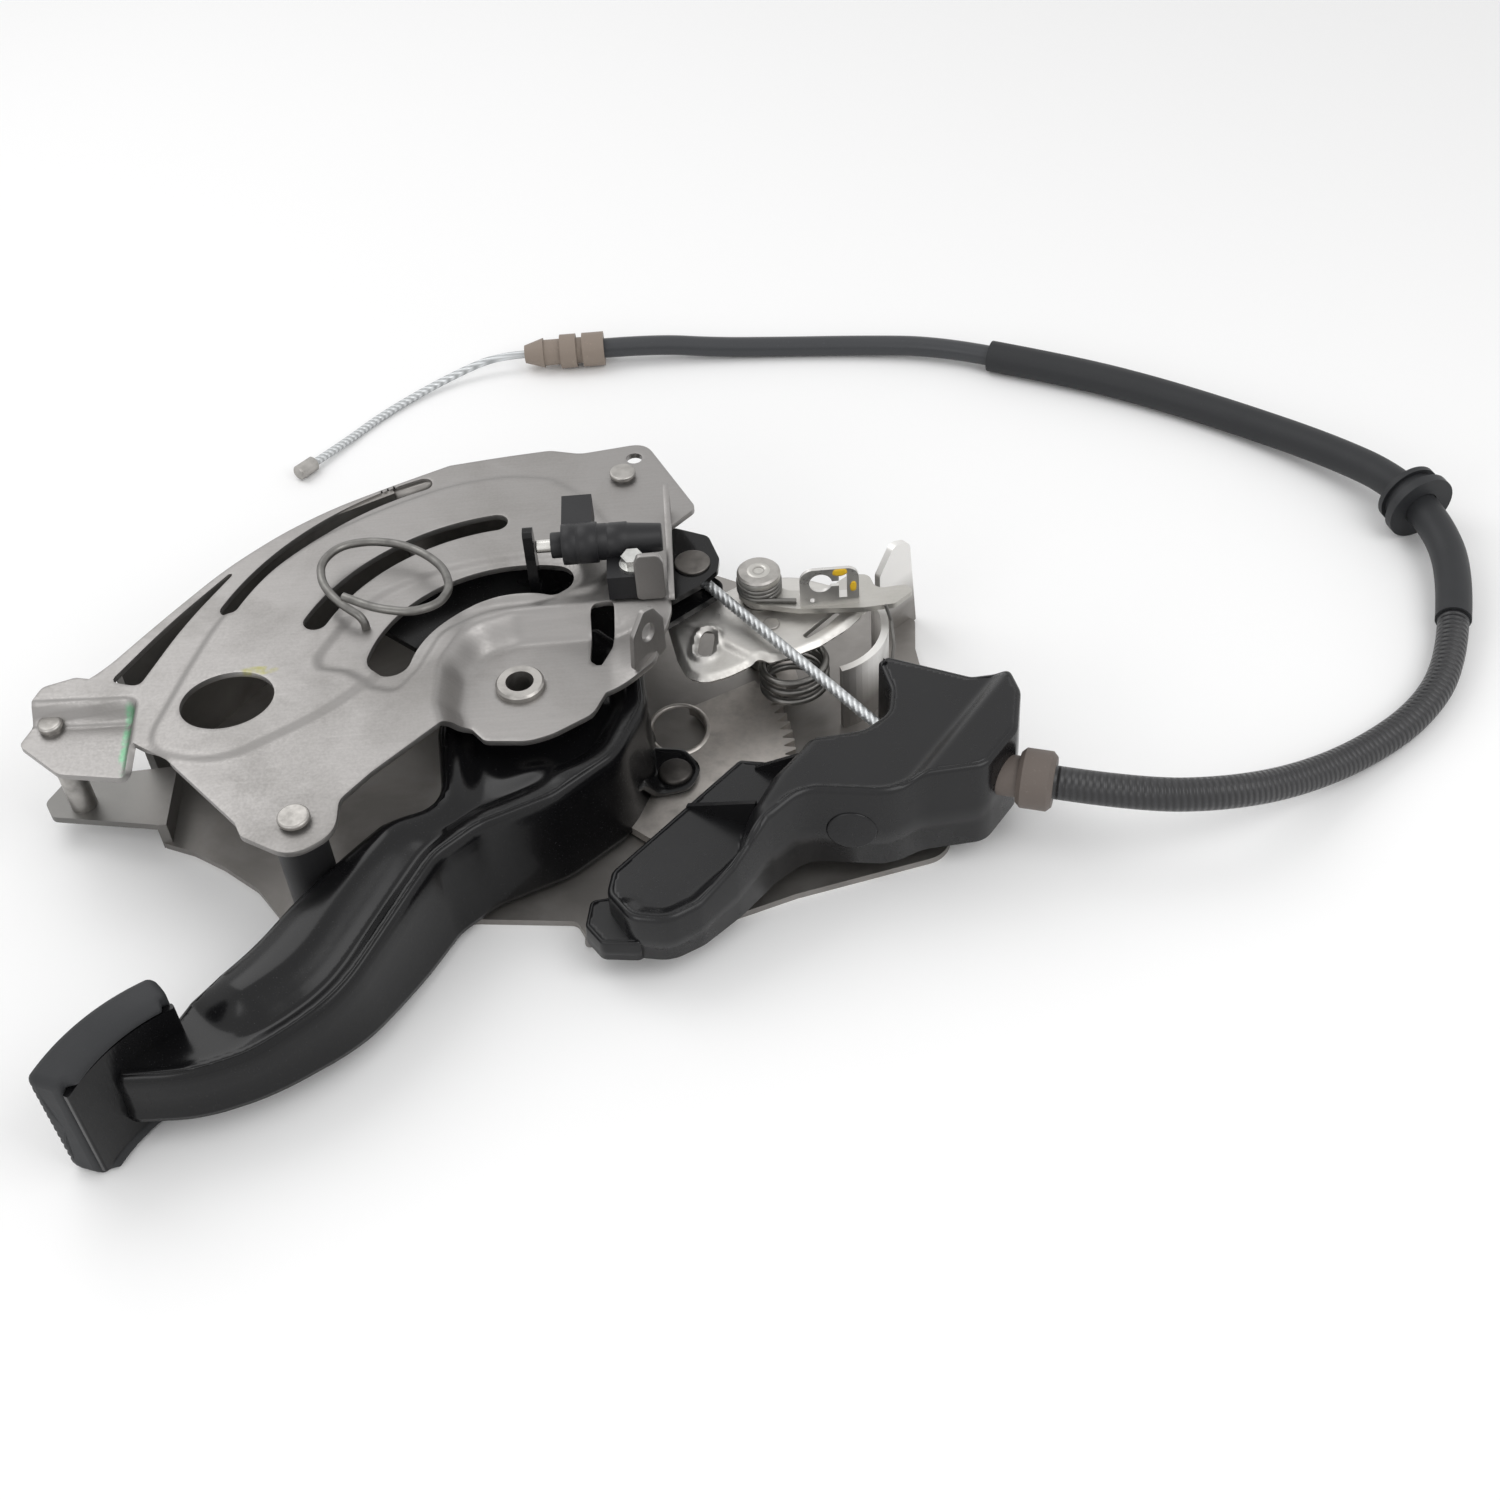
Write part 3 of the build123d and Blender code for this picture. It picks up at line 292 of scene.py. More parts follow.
def ringedPlastic(name, tone, centre, radius, pitch):
    # fine rings round a conduit that bends about one centre, so the angle about it counts the rings
    look = Look(name)
    angle = look.add("ShaderNodeMath", {"operation": "ARCTAN2"}, {
        0: look.axis(1) - centre[1] * mm, 1: look.axis(0) - centre[0] * mm})
    wave = sine(look, angle * (2 * math.pi * radius / pitch))
    dust = look.span(look.noise(look.place(), 500.0, 3.0, 0.7), 0.55, 0.75)
    # painted light and shade: the colour is lighter on the ring crests and darker in the grooves
    color = look.blendColors(wave, tone, shade(tone, 2.2))
    return look.feed(Base_Color=color, Roughness=0.34 + 0.2 * dust, Normal=look.bump(wave, 0.5, 0.0009))


finishes = {
    "zinc_plate": sheetSteel("zincSheet", (0.315, 0.304, 0.296, 1), (0.235, 0.226, 0.213, 1), 0.36, [
        ((-149, -12, 58), (4, 22, 9), (0.16, 0.42, 0.24, 1)),  # green paint mark at the left tab
        ((-100, 8, 67), (9, 3, 4), (0.30, 0.29, 0.10, 1))]),  # yellow one above the oval hole
    "olive_plate": sheetSteel("leverSheet", (0.52, 0.508, 0.48, 1), (0.36, 0.345, 0.31, 1), 0.34),
    "clip_plate": sheetSteel("clipSheet", (0.66, 0.65, 0.63, 1), (0.5, 0.485, 0.455, 1), 0.26),
    "turned_steel": turnedSteel("turnedSteel", (0.42, 0.405, 0.385, 1), 0.32),
    "dark_steel": turnedSteel("hardenedSteel", (0.52, 0.49, 0.46, 1), 0.4),
    "spring_steel": turnedSteel("springSteel", (0.20, 0.195, 0.185, 1), 0.34),
    "bright_wire": laidWire("galvanisedWire", (0.72, 0.74, 0.75, 1), -55.0, 3.4),
    "black_paint": glossPaint("blackPaint"),
    "cover_plastic": mouldedPlastic("coverPlastic", (0.007, 0.007, 0.0078, 1), 0.22, 0.03),
    "switch_plastic": mouldedPlastic("switchPlastic", (0.012, 0.012, 0.0135, 1), 0.42, 0.12),
    "plunger_plastic": turnedSteel("plungerSteel", (0.7, 0.69, 0.66, 1), 0.25),
    "black_fitting": mouldedPlastic("fittingPlastic", (0.13, 0.108, 0.095, 1), 0.5, 0.3),
    "conduit_plastic": mouldedPlastic("conduitPlastic", (0.012, 0.0125, 0.014, 1), 0.34, 0.06),
    "sleeve_rubber": mouldedPlastic("sleeveRubber", (0.02, 0.021, 0.023, 1), 0.48, 0.12),
    "bumper_rubber": mouldedPlastic("bumperRubber", (0.015, 0.015, 0.016, 1), 0.42, 0.2),
    "pad_rubber": mouldedPlastic("padRubber", (0.026, 0.027, 0.029, 1), 0.62, 0.4),
}
# pieces whose own finish differs from that of their slot
ownFinish = {
    # the lower plate's finish holds painted shade at its left tab and painted light on its fin
    "lower_plate": litAndShadedSheet("litAndShadedSheet"),
    "sector_rivet": turnedSteel("smokedRivet", (0.075, 0.07, 0.066, 1), 0.42),
    "anchor_pin": turnedSteel("oiledPin", (0.16, 0.15, 0.14, 1), 0.4),
    "switch_screw": turnedSteel("brightScrew", (0.68, 0.68, 0.66, 1), 0.22),
    "far_fitting": mouldedPlastic("tanFitting", (0.25, 0.205, 0.17, 1), 0.5, 0.25),
    "ribbed_conduit": ringedPlastic("ringedConduit", (0.012, 0.012, 0.013, 1), (243, 91), 150.0, 2.6),
    # painted light: the leaf's tone is set about twice the fan's zinc to make up for the fan's shade over it
    "control_plate": sheetSteel("leafSheet", (0.62, 0.605, 0.58, 1), (0.46, 0.445, 0.415, 1), 0.32),
    "thin_conduit": mouldedPlastic("thinConduit", (0.045, 0.047, 0.051, 1), 0.32, 0.05),
    "bare_wire": laidWire("bareWire", (0.66, 0.68, 0.69, 1), 42.0, 3.0),
    "bumper_rivet": turnedSteel("flatRivet", (0.4, 0.385, 0.365, 1), 0.34),
}
yellowPaint = Look("yellowPaint", Base_Color=(0.80, 0.50, 0.02, 1), Roughness=0.5).material


def finishOf(node, slot):
    return ownFinish.get(node, finishes[slot])


def dressNodes():
    for part in frame["record"]["subparts"]:
        piece = frame["nodes"][part["node"]]
        piece.data.materials.clear()
        piece.data.materials.append(finishOf(part["node"], part["material_slot"]))
        for polygon in piece.data.polygons:
            polygon.use_smooth = False


# new pieces
def meshPiece(name, points, faces, body, slot, smooth=True, finish=None):
    mesh = bpy.data.meshes.new(name)
    mesh.from_pydata(np.asarray(points, float) * mm, [], faces)
    mesh.polygons.foreach_set("use_smooth", np.full(len(mesh.polygons), smooth))
    piece = bpy.data.objects.new(name, mesh)
    bpy.context.collection.objects.link(piece)
    mesh.materials.append(finish or finishes[slot])
    if body:
        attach(piece, body)
    return piece


def roundCorners(points, radius=1e9, steps=7):
    # closed outline through (x, y[, radius]) corners, each cut by an arc that touches both of its sides
    spots = np.array([point[:2] for point in points], float)
    wanted = np.array([point[2] if len(point) > 2 else radius for point in points], float)
    back, ahead = np.roll(spots, 1, 0) - spots, np.roll(spots, -1, 0) - spots
    lengthBack, lengthAhead = np.linalg.norm(back, axis=1), np.linalg.norm(ahead, axis=1)
    back, ahead = back / lengthBack[:, None], ahead / lengthAhead[:, None]
    half = np.arccos(np.clip((back * ahead).sum(1), -1, 1)) / 2
    cut = np.minimum(wanted / np.tan(half), 0.45 * np.minimum(lengthBack, lengthAhead))[:, None, None]
    share = np.linspace(0, 1, steps)[None, :, None]
    # a quadratic curve from the first touching point over the corner to the second
    curve = spots[:, None] + cut * (back[:, None] * (1 - share) ** 2 + ahead[:, None] * share ** 2)
    return curve.reshape(-1, 2)


def pathDistance(path, x, y):
    # distance from each place to the nearest run of an open path
    flatX, flatY = x.ravel(), y.ravel()
    nearest = np.full(flatX.size, 1e9)
    for (ax, ay), (bx, by) in zip(path, path[1:]):
        dx, dy = bx - ax, by - ay
        if dx * dx + dy * dy > 1e-12:
            share = np.clip(((flatX - ax) * dx + (flatY - ay) * dy) / (dx * dx + dy * dy), 0, 1)
            nearest = np.minimum(nearest, (flatX - ax - share * dx) ** 2 + (flatY - ay - share * dy) ** 2)
    return np.sqrt(nearest).reshape(x.shape)


def distanceTo(outline, x, y):
    # distance from each place to a closed outline, negative where a ray crosses it an odd number of times
    inside = np.zeros(x.shape, bool)
    for (ax, ay), (bx, by) in zip(outline, np.roll(outline, -1, 0)):
        if by != ay:
            spans = (ay > y) != (by > y)
            inside ^= spans & (x < (bx - ax) * (y - ay) / (by - ay) + ax)
    return pathDistance(np.concatenate([outline, outline[:1]]), x, y) * np.where(inside, -1, 1)


def ringsToFaces(rings, around):
    # quads between closed rings of equal count, facing outwards when each ring runs against the sweep
    ring, spot = np.meshgrid(np.arange(rings - 1), np.arange(around), indexing="ij")
    after = (spot + 1) % around
    here, beyond = ring * around, (ring + 1) * around
    cells = [here + spot, beyond + spot, beyond + after, here + after]
    return np.stack(cells, -1).reshape(-1, 4)


def lathe(name, profile, place, body, slot, axis=(0, 0, 1), around=56, finish=None):
    # profile of (radius, level) pairs turned about an axis through a place
    axis = np.array(axis, float) / np.linalg.norm(axis)
    side = np.cross(axis, (0.31, 0.95, 0.05))
    side = side / np.linalg.norm(side)
    over = np.cross(axis, side)
    angle = -np.linspace(0, 2 * np.pi, around, endpoint=False)
    ring = np.cos(angle)[:, None] * side + np.sin(angle)[:, None] * over
    points = np.concatenate([np.array(place) + radius * ring + level * axis for radius, level in profile])
    return meshPiece(name, points, ringsToFaces(len(profile), around), body, slot, finish=finish)


def tubeAlong(name, route, radius, body, slot, around=16, strands=0, lay=0.0, finish=None):
    # tube about a dense route; lobes that turn by lay radians per millimetre make it a laid wire
    route = np.asarray(route, float)
    heading = np.gradient(route, axis=0)
    heading /= np.linalg.norm(heading, axis=1)[:, None]
    side = np.cross(heading, (0.02, 0.01, 1.0))
    side /= np.linalg.norm(side, axis=1)[:, None]
    over = np.cross(side, heading)
    run = np.concatenate([[0], np.cumsum(np.linalg.norm(np.diff(route, axis=0), axis=1))])
    angle = np.linspace(0, 2 * np.pi, around, endpoint=False)[None]
    lobes = 1 + 0 * run[:, None] * angle
    if strands:
        lobes = 1 - 0.2 * (1 - np.abs(np.cos(strands / 2 * (angle - lay * run[:, None]))))
    rings = route[:, None] + radius * lobes[..., None] * (
        np.cos(angle)[..., None] * side[:, None] + np.sin(angle)[..., None] * over[:, None])
    caps = [np.repeat(route[end][None, None], around, 1) for end in (0, -1)]
    points = np.concatenate([caps[0], rings, caps[1]]).reshape(-1, 3)
    return meshPiece(name, points, ringsToFaces(len(route) + 2, around), body, slot, finish=finish)


def ringSlot(x, y, radius, width, first, last):
    # distance to a curved slot with round ends about the pivot
    angle = np.degrees(np.arctan2(y, x)) % 360
    held = np.radians(np.clip(angle, first, last))
    return np.hypot(x - radius * np.cos(held), y - radius * np.sin(held)) - width / 2


def ease(value, low, high):
    share = np.clip((value - low) / (high - low), 0, 1)
    return share * share * (3 - 2 * share)


def sheetGrid(field, height, box, pitch):
    # grid cells where field is negative, their border drawn onto field = 0, lifted to height
    x0, x1, y0, y1 = box
    x, y = np.meshgrid(np.arange(x0, x1, pitch), np.arange(y0, y1, pitch), indexing="ij")
    value = field(x, y)
    middle = (value[:-1, :-1] + value[1:, :-1] + value[:-1, 1:] + value[1:, 1:]) / 4
    kept = middle < 0
    number = np.arange(x.size).reshape(x.shape)
    cells = np.stack([number[:-1, :-1], number[1:, :-1], number[1:, 1:], number[:-1, 1:]], -1)[kept]
    around = np.zeros(x.shape, int)
    for across, along in ((0, 0), (1, 0), (0, 1), (1, 1)):
        around[across:across + kept.shape[0], along:along + kept.shape[1]] += kept
    border = (around > 0) & (around < 4)
    spotX, spotY = x[border], y[border]
    for _ in range(4):
        here = field(spotX, spotY)
        slopeX = (field(spotX + 0.05, spotY) - here) / 0.05
        slopeY = (field(spotX, spotY + 0.05) - here) / 0.05
        size = np.maximum(slopeX ** 2 + slopeY ** 2, 0.25)
        spotX, spotY = spotX - here * slopeX / size, spotY - here * slopeY / size
    x[border], y[border] = spotX, spotY
    points = np.stack([x, y, height(x, y)], -1).reshape(-1, 3)
    used, faces = np.unique(cells, return_inverse=True)
    return points[used], faces.reshape(cells.shape)


def closedWall(outline, rows):
    # rings of a closed outline, each moved inwards by inset and set to a level, joined by quads
    outline = outline[np.linalg.norm(np.roll(outline, -1, 0) - outline, axis=1) > 1e-6]
    along = np.roll(outline, -1, 0) - np.roll(outline, 1, 0)
    along = along / np.linalg.norm(along, axis=1)[:, None]
    x, y = outline.T
    turn = np.sign((x * np.roll(y, -1) - np.roll(x, -1) * y).sum())
    inward = np.stack([-along[:, 1], along[:, 0]], 1) * turn
    count, rings = len(outline), []
    for inset, level in rows:
        flat = outline + inward * inset
        lift = level(flat[:, 0], flat[:, 1]) if callable(level) else np.full(count, float(level))
        rings.append(np.column_stack([flat, lift]))
    number = np.arange(count)
    after = np.roll(number, -1)
    faces = np.concatenate([
        np.stack([number, after, after + count, number + count], 1) + row * count
        for row in range(len(rows) - 1)])
    return np.concatenate(rings), faces if turn > 0 else faces[:, ::-1]


def together(*surfaces):
    # several point and face arrays as one
    points, faces, base = [], [], 0
    for spots, cells in surfaces:
        points.append(spots)
        faces.append(cells + base)
        base += len(spots)
    return np.concatenate(points), np.concatenate(faces)


def thicken(piece, thickness, edge=0.35, segments=2):
    solid = piece.modifiers.new("thickness", "SOLIDIFY")
    solid.thickness, solid.offset = thickness * mm, -1
    if edge:
        bevel = piece.modifiers.new("edge", "BEVEL")
        bevel.width, bevel.segments = edge * mm, segments
        bevel.limit_method, bevel.angle_limit = "ANGLE", math.radians(55)


# upper plate
fan = {
    "level": 68.0, "sheet": 2.5, "pocketDrop": 10.0, "tabDrop": 10.0, "plateau": 1.6, "pitch": 1.25,
    "outline": [
        (-144, -24, 3), (-147, -1, 2), (-177, 4, 2), (-162, 16), (-143, 43), (-121, 72), (-100, 92),
        (-80, 106), (-56, 118), (-32, 129, 9), (-10, 132), (11, 134, 12), (24, 130, 14), (52, 134, 9),
        (72, 88, 4), (60, 76, 3), (60, 28, 2), (52, 2, 3), (33, -7, 2), (28, -18, 10), (13, -27, 20),
        (4, -30, 20), (-13, -28, 4), (-19, -20, 6), (-24, -22, 4), (-52, -49, 6), (-63, -62, 8),
        (-63, -78, 14), (-78, -88, 14), (-97, -76, 5), (-100, -69, 4), (-129, -35, 4)],
    "tab": [
        (-192, -11, 3), (-184, 10, 4), (-172, 14, 3), (-147, 8, 2), (-143, -20, 2), (-148, -33, 3),
        (-174, -28, 8)],
    "crescent": [(-158, 10, 3), (-146, 6, 4), (-133, 40), (-117, 69, 0.6), (-119, 69, 0.6), (-139, 42)],
    "window": [(28, 33, 4), (38, 35, 4), (36, 18, 4), (31, 7, 3), (27, 11, 3)],
    "pocket": [
        (-24, -40, 3), (-31, -14, 12), (-30, 8, 20), (-20, 27, 20), (-2, 33, 20), (80, 33, 5), (80, -46, 3)],
    "raised": [
        (-140, -30), (-128, 14, 20), (-120, 40), (-104, 67), (-84, 87), (-58, 103), (-30, 115), (-6, 118),
        (12, 114, 12), (26, 100, 10), (34, 84, 10), (44, 60, 16), (30, 40, 12), (-30, 40), (-60, -10),
        (-110, -40)],
    "bead": [
        (-66, 4, 6), (-77, 7, 4), (-78, 14, 8), (-69, 33), (-56, 48), (-38, 58), (-18, 63), (4, 65, 12),
        (22, 60, 12), (26, 44, 10), (10, 36), (-14, 34), (-30, 24, 14), (-38, 4, 14), (-46, -8, 8),
        (-56, -4, 6)],
    "oval": {"centre": (-110, -7), "half": (18, 15), "turn": 12, "slope": 15.5},
    # each slot's radius, width, first and last degree
    "slots": [(125, 8, 110, 158), (87, 10, 97, 157), (51, 17, 75, 168)],
    "holes": [(47, 124, 3.5), (0, 0, 9.52), (-60, 29, 1.72)],  # place and radius
}


def fanField(x, y):
    shape = {key: roundCorners(fan[key]) for key in ("outline", "tab", "crescent", "window")}
    edge = np.minimum(distanceTo(shape["outline"], x, y), distanceTo(shape["tab"], x, y))
    oval = fan["oval"]
    turnX, turnY = math.cos(math.radians(oval["turn"])), math.sin(math.radians(oval["turn"]))
    fromX, fromY = x - oval["centre"][0], y - oval["centre"][1]
    across = (fromX * turnX + fromY * turnY) / oval["half"][0]
    along = (-fromX * turnY + fromY * turnX) / oval["half"][1]
    holes = [distanceTo(shape["crescent"], x, y), distanceTo(shape["window"], x, y),
             (np.hypot(across, along) - 1) * oval["slope"]]
    holes += [ringSlot(x, y, *slot) for slot in fan["slots"]]
    holes += [np.hypot(x - holeX, y - holeY) - radius for holeX, holeY, radius in fan["holes"]]
    for hole in holes:
        edge = np.maximum(edge, -hole)
    return edge


def fanHeight(x, y):
    # plateau, bead round the finger slot, pocket and left tab: smooth steps of the distance to each outline
    raised = distanceTo(roundCorners(fan["raised"]), x, y)
    bead = distanceTo(roundCorners(fan["bead"]), x, y)
    pocket = distanceTo(roundCorners(fan["pocket"]), x, y)
    tab = distanceTo(roundCorners([(-220, -60, 1), (-220, 4, 1), (-146, 0, 5), (-143.5, -60, 1)]), x, y)
    lift = fan["level"] + fan["plateau"] * (ease(-raised, -1.5, 2.5) - 1)
    lift = lift - 1.3 * ease(-bead, -1.5, 2.5)
    lift = lift - (fan["pocketDrop"] - 1.3 * ease(-bead, -1.5, 2.5)) * ease(-pocket, -1.0, 10.0)
    flare = 7.0 * ease(x, 34, 56) * ease(y, -16, 6) * ease(-pocket, -1.0, 10.0)
    return lift + flare - fan["tabDrop"] * ease(-tab, -1.0, 4.5)


lugs = {  # foot line's start and end, its level, corners as share of the line and rise, hole
    "bladeFlange": ((60.5, 30), (60.5, 88), 67.2, [
        (0, 0), (1, 0), (1.03, 13), (0.86, 12), (0.3, 5), (0.02, 2.4)]),
    "switchTab": ((47, 33.5), (58.5, 33.5), 67.2, [
        (0, 0), (1, 0), (1, 18), (0.86, 22), (0.14, 22), (0, 18)]),
    "eyeletEar": ((44.0, -0.5), (56.5, 11.0), 60.0, [
        (0, 0), (1, 0), (1.0, 17), (0.74, 25), (0.45, 26), (0.08, 17)], (0.52, 15, 3.2)),
}


def makeUpperPlate():
    points, cells = sheetGrid(fanField, fanHeight, (-194, 76, -90, 136), fan["pitch"])
    piece = meshPiece("upperPlate", points, cells, "bracket", "zinc_plate")
    thicken(piece, fan["sheet"])
    for name, lug in lugs.items():
        makeLug(name, *lug)
    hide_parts("upper_plate")


# the lower plate's rim wall goes on behind the ring slots, under the fan's rear edge
rearWall = {
    "outline": [
        (-56, 116), (-32, 126.3), (-10, 129.2), (11, 130.5), (24, 127.2), (24, 126), (11, 129), (-10, 127.8)],
    "start": (-56.3, 116.9), "outer": slice(7, 30), "low": 3.0, "high": 65.0, "rows": 12, "sheet": 2.6,
}


def makeRearWall():
    # the outer run of the rounded outline, from where the solid wall ends, carried up in level rows
    path = np.concatenate([[rearWall["start"]], roundCorners(rearWall["outline"])[rearWall["outer"]]])
    level = np.linspace(rearWall["low"], rearWall["high"], rearWall["rows"])
    points = np.concatenate([np.column_stack([path, np.full(len(path), spot)]) for spot in level])
    row, spot = np.meshgrid(np.arange(len(level) - 1), np.arange(len(path) - 1), indexing="ij")
    first = row * len(path) + spot
    cells = np.stack([first, first + len(path), first + len(path) + 1, first + 1], -1).reshape(-1, 4)
    piece = meshPiece("rimWallEnd", points, cells, "bracket", "zinc_plate", finish=ownFinish["lower_plate"])
    thicken(piece, rearWall["sheet"], edge=0)


def makeLug(name, start, end, level, profile, hole=None, body="bracket", slot="zinc_plate",
            thickness=2.25, finish=None):
    # upright tab: a flat outline given by share of the foot line and rise, on the same grid as the sheets
    start, end = np.array(start, float), np.array(end, float)
    length = np.linalg.norm(end - start)
    shape = roundCorners([(share * length, rise, 2.2) for share, rise in profile])

    def field(x, y):
        edge = distanceTo(shape, x, y)
        if hole:
            edge = np.maximum(edge, hole[2] - np.hypot(x - hole[0] * length, (y - hole[1]) * 0.72))
        return edge
    tallest = max(corner[1] for corner in profile)
    flat, cells = sheetGrid(field, lambda x, y: 0 * x, (-3, length + 3, -2, tallest + 2), 0.8)
    along = (end - start) / length
    points = np.column_stack([start + flat[:, :1] * along, level + flat[:, 1]])
    piece = meshPiece(name, points, cells, body, slot, finish=finish)
    thicken(piece, thickness, edge=0.35 if thickness > 1 else 0)
    piece.modifiers["thickness"].offset = 0
    return piece


# pedal arm
arm = {
    "top": 49.5, "foot": 5.5, "sheet": 2.6, "pitch": 1.3, "edge": 3.0, "hump": 6.4, "saddle": 0.76,
    "topDrop": 9.5, "footRise": 9.5, "flank": 17.0, "bead": 0.7, "valley": 1.3, "dish": 5.0,
    "boss": 3.4, "ring": 4.0,
    "outline": [
        (30, 40, 4), (47, 20, 20), (49, -8, 30), (38, -34, 30), (14, -54, 30), (-14, -66, 20), (-28, -78, 20),
        (-44, -106), (-60, -132), (-86, -151), (-112, -159), (-136, -158, 6), (-142, -151, 5),
        (-131, -141.5, 20), (-121, -132.5, 5), (-117, -124.5, 6), (-108, -118, 20), (-95, -105), (-84, -91),
        (-70, -77.3, 12), (-52, -60.5, 12), (-30, -50, 16), (-34, -10, 30), (-20, 34, 30)],
}


def armSpine(x, y):
    # how far towards the pad a place is, from 0 at the drum to 1 at the pad
    return np.clip(((-20 - x) * 0.72 + (-60 - y) * 0.69) / 132, 0, 1)


def armTopAt(x, y):
    # level of the shoulder: flat over the drum, dropping towards the pad
    return arm["top"] - 1.2 * armSpine(x, y) - arm["topDrop"] * ease(armSpine(x, y), 0.12, 0.8)


def armFootAt(x, y):
    return arm["foot"] + arm["footRise"] * ease(armSpine(x, y), 0.2, 0.85)


def armEdges():
    # the arm's right and left edges, as parts of its rounded outline
    outline = roundCorners(arm["outline"])
    return outline[7:84], outline[105:161]


def armField(x, y):
    edge = distanceTo(roundCorners(arm["outline"]), x, y) + arm["edge"] - 0.1
    return np.maximum(edge, 12.62 - np.hypot(x, y))


def armHeight(x, y):
    # a flat shelf with a bead along the right edge, a round hump against the left edge that ends at a saddle
    # before the pad, and a dished floor with a boss in the drum
    rightEdge, leftEdge = armEdges()
    fromRight, fromLeft = pathDistance(rightEdge, x, y), pathDistance(leftEdge, x, y)
    depth = -distanceTo(roundCorners(arm["outline"]), x, y)
    spine = armSpine(x, y)
    drum = 1 - ease(spine, 0.0, 0.15)
    tongue = ease(spine, arm["saddle"], arm["saddle"] + 0.13)
    bead = arm["bead"] * np.exp(-((fromRight - 3.6) / 1.7) ** 2)
    valley = arm["valley"] * np.exp(-((fromRight - 9.0) / 2.4) ** 2) * (1 - tongue)
    hump = arm["hump"] * ease(fromRight, 8.5, 24.0) * (1 - tongue)
    flank = 1 - np.sqrt(1 - (1 - np.clip(fromLeft / arm["flank"], 0, 1)) ** 2)
    shoulder = (8.5 * (1 - tongue) + 1.0 * tongue) * flank
    dish = -arm["dish"] * ease(depth, 6, 16)
    boss = arm["boss"] * np.exp(-(((x - 6) / 12) ** 2 + ((y + 38) / 7) ** 2))
    rise = (bead - valley + hump - shoulder - 1.6 * tongue) * (1 - drum) + (bead + dish + boss) * drum
    ring = arm["ring"] * ease(24 - np.hypot(x, y), 0, 8)
    return armTopAt(x, y) - 0.5 * (1 - ease(depth, 0.0, 4.0)) + rise + ring * drum


def belowTop(drop):
    return lambda x, y: armHeight(x, y) - drop


def aboveFoot(rise):
    return lambda x, y: armFootAt(x, y) + rise


def makeArm():
    outline = roundCorners(arm["outline"], steps=14)
    wall = [
        (-0.9, armFootAt), (-0.9, aboveFoot(2.0)), (0.0, aboveFoot(5.0)),
        (0.3, belowTop(10.0)), (0.45, belowTop(4.2)), (0.7, belowTop(2.6)), (1.2, belowTop(1.3)),
        (2.0, belowTop(0.45)), (3.2, belowTop(0.0))]
    skin = sheetGrid(armField, armHeight, (-150, 54, -170, 46), arm["pitch"])
    points, cells = together(closedWall(outline, wall), skin)
    piece = meshPiece("armPressing", points, cells, "pedal", "black_paint")
    thicken(piece, arm["sheet"], edge=0)
    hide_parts("pedal_arm")


# ear that the sector is riveted to: a flat tongue with a rolled edge that rises into the drum's wall
ear = {
    "outline": [(36, 14, 3), (48, 6, 10), (60, 4, 7), (67, -7, 9), (62, -18, 8), (50, -20, 10), (30, -32, 3)],
    "level": 10.6, "sheet": 2.4, "rivet": (56, -9, 0),
    "cap": [(6.9, 10.7), (6.9, 11.6), (6.5, 12.3), (5.6, 12.7), (0.01, 12.9)],
    "rim": {"centre": (58, 18), "half": (11.1, 13.1), "steps": 90},  # thin lip round the sector's window
    "lip": [(0.1, 7.4), (0.0, 8.3), (-0.6, 8.6), (-1.3, 8.5), (-2.0, 8.0)],
}


def makeEar():
    shape = roundCorners(ear["outline"])

    def height(x, y):
        edge = distanceTo(shape, x, y)
        root = 9.0 * (1 - ease(x + 0.25 * y, 38, 49)) ** 2
        return ear["level"] + root + 0.45 * np.exp(-((edge + 1.5) / 1.0) ** 2)
    points, cells = sheetGrid(lambda x, y: distanceTo(shape, x, y), height, (30, 68, -32, 14), 0.9)
    piece = meshPiece("sectorEar", points, cells, "pedal", "black_paint")
    thicken(piece, ear["sheet"])
    lathe("sectorCap", ear["cap"], ear["rivet"], "pedal", "turned_steel", finish=ownFinish["sector_rivet"])
    rim = ear["rim"]
    turn = np.linspace(0, 2 * np.pi, rim["steps"], endpoint=False)
    oval = np.column_stack([
        rim["centre"][0] + rim["half"][0] * np.cos(turn), rim["centre"][1] + rim["half"][1] * np.sin(turn)])
    band = closedWall(oval, ear["lip"])
    meshPiece("sectorRim", band[0], band[1][:, ::-1], "pedal", "dark_steel")


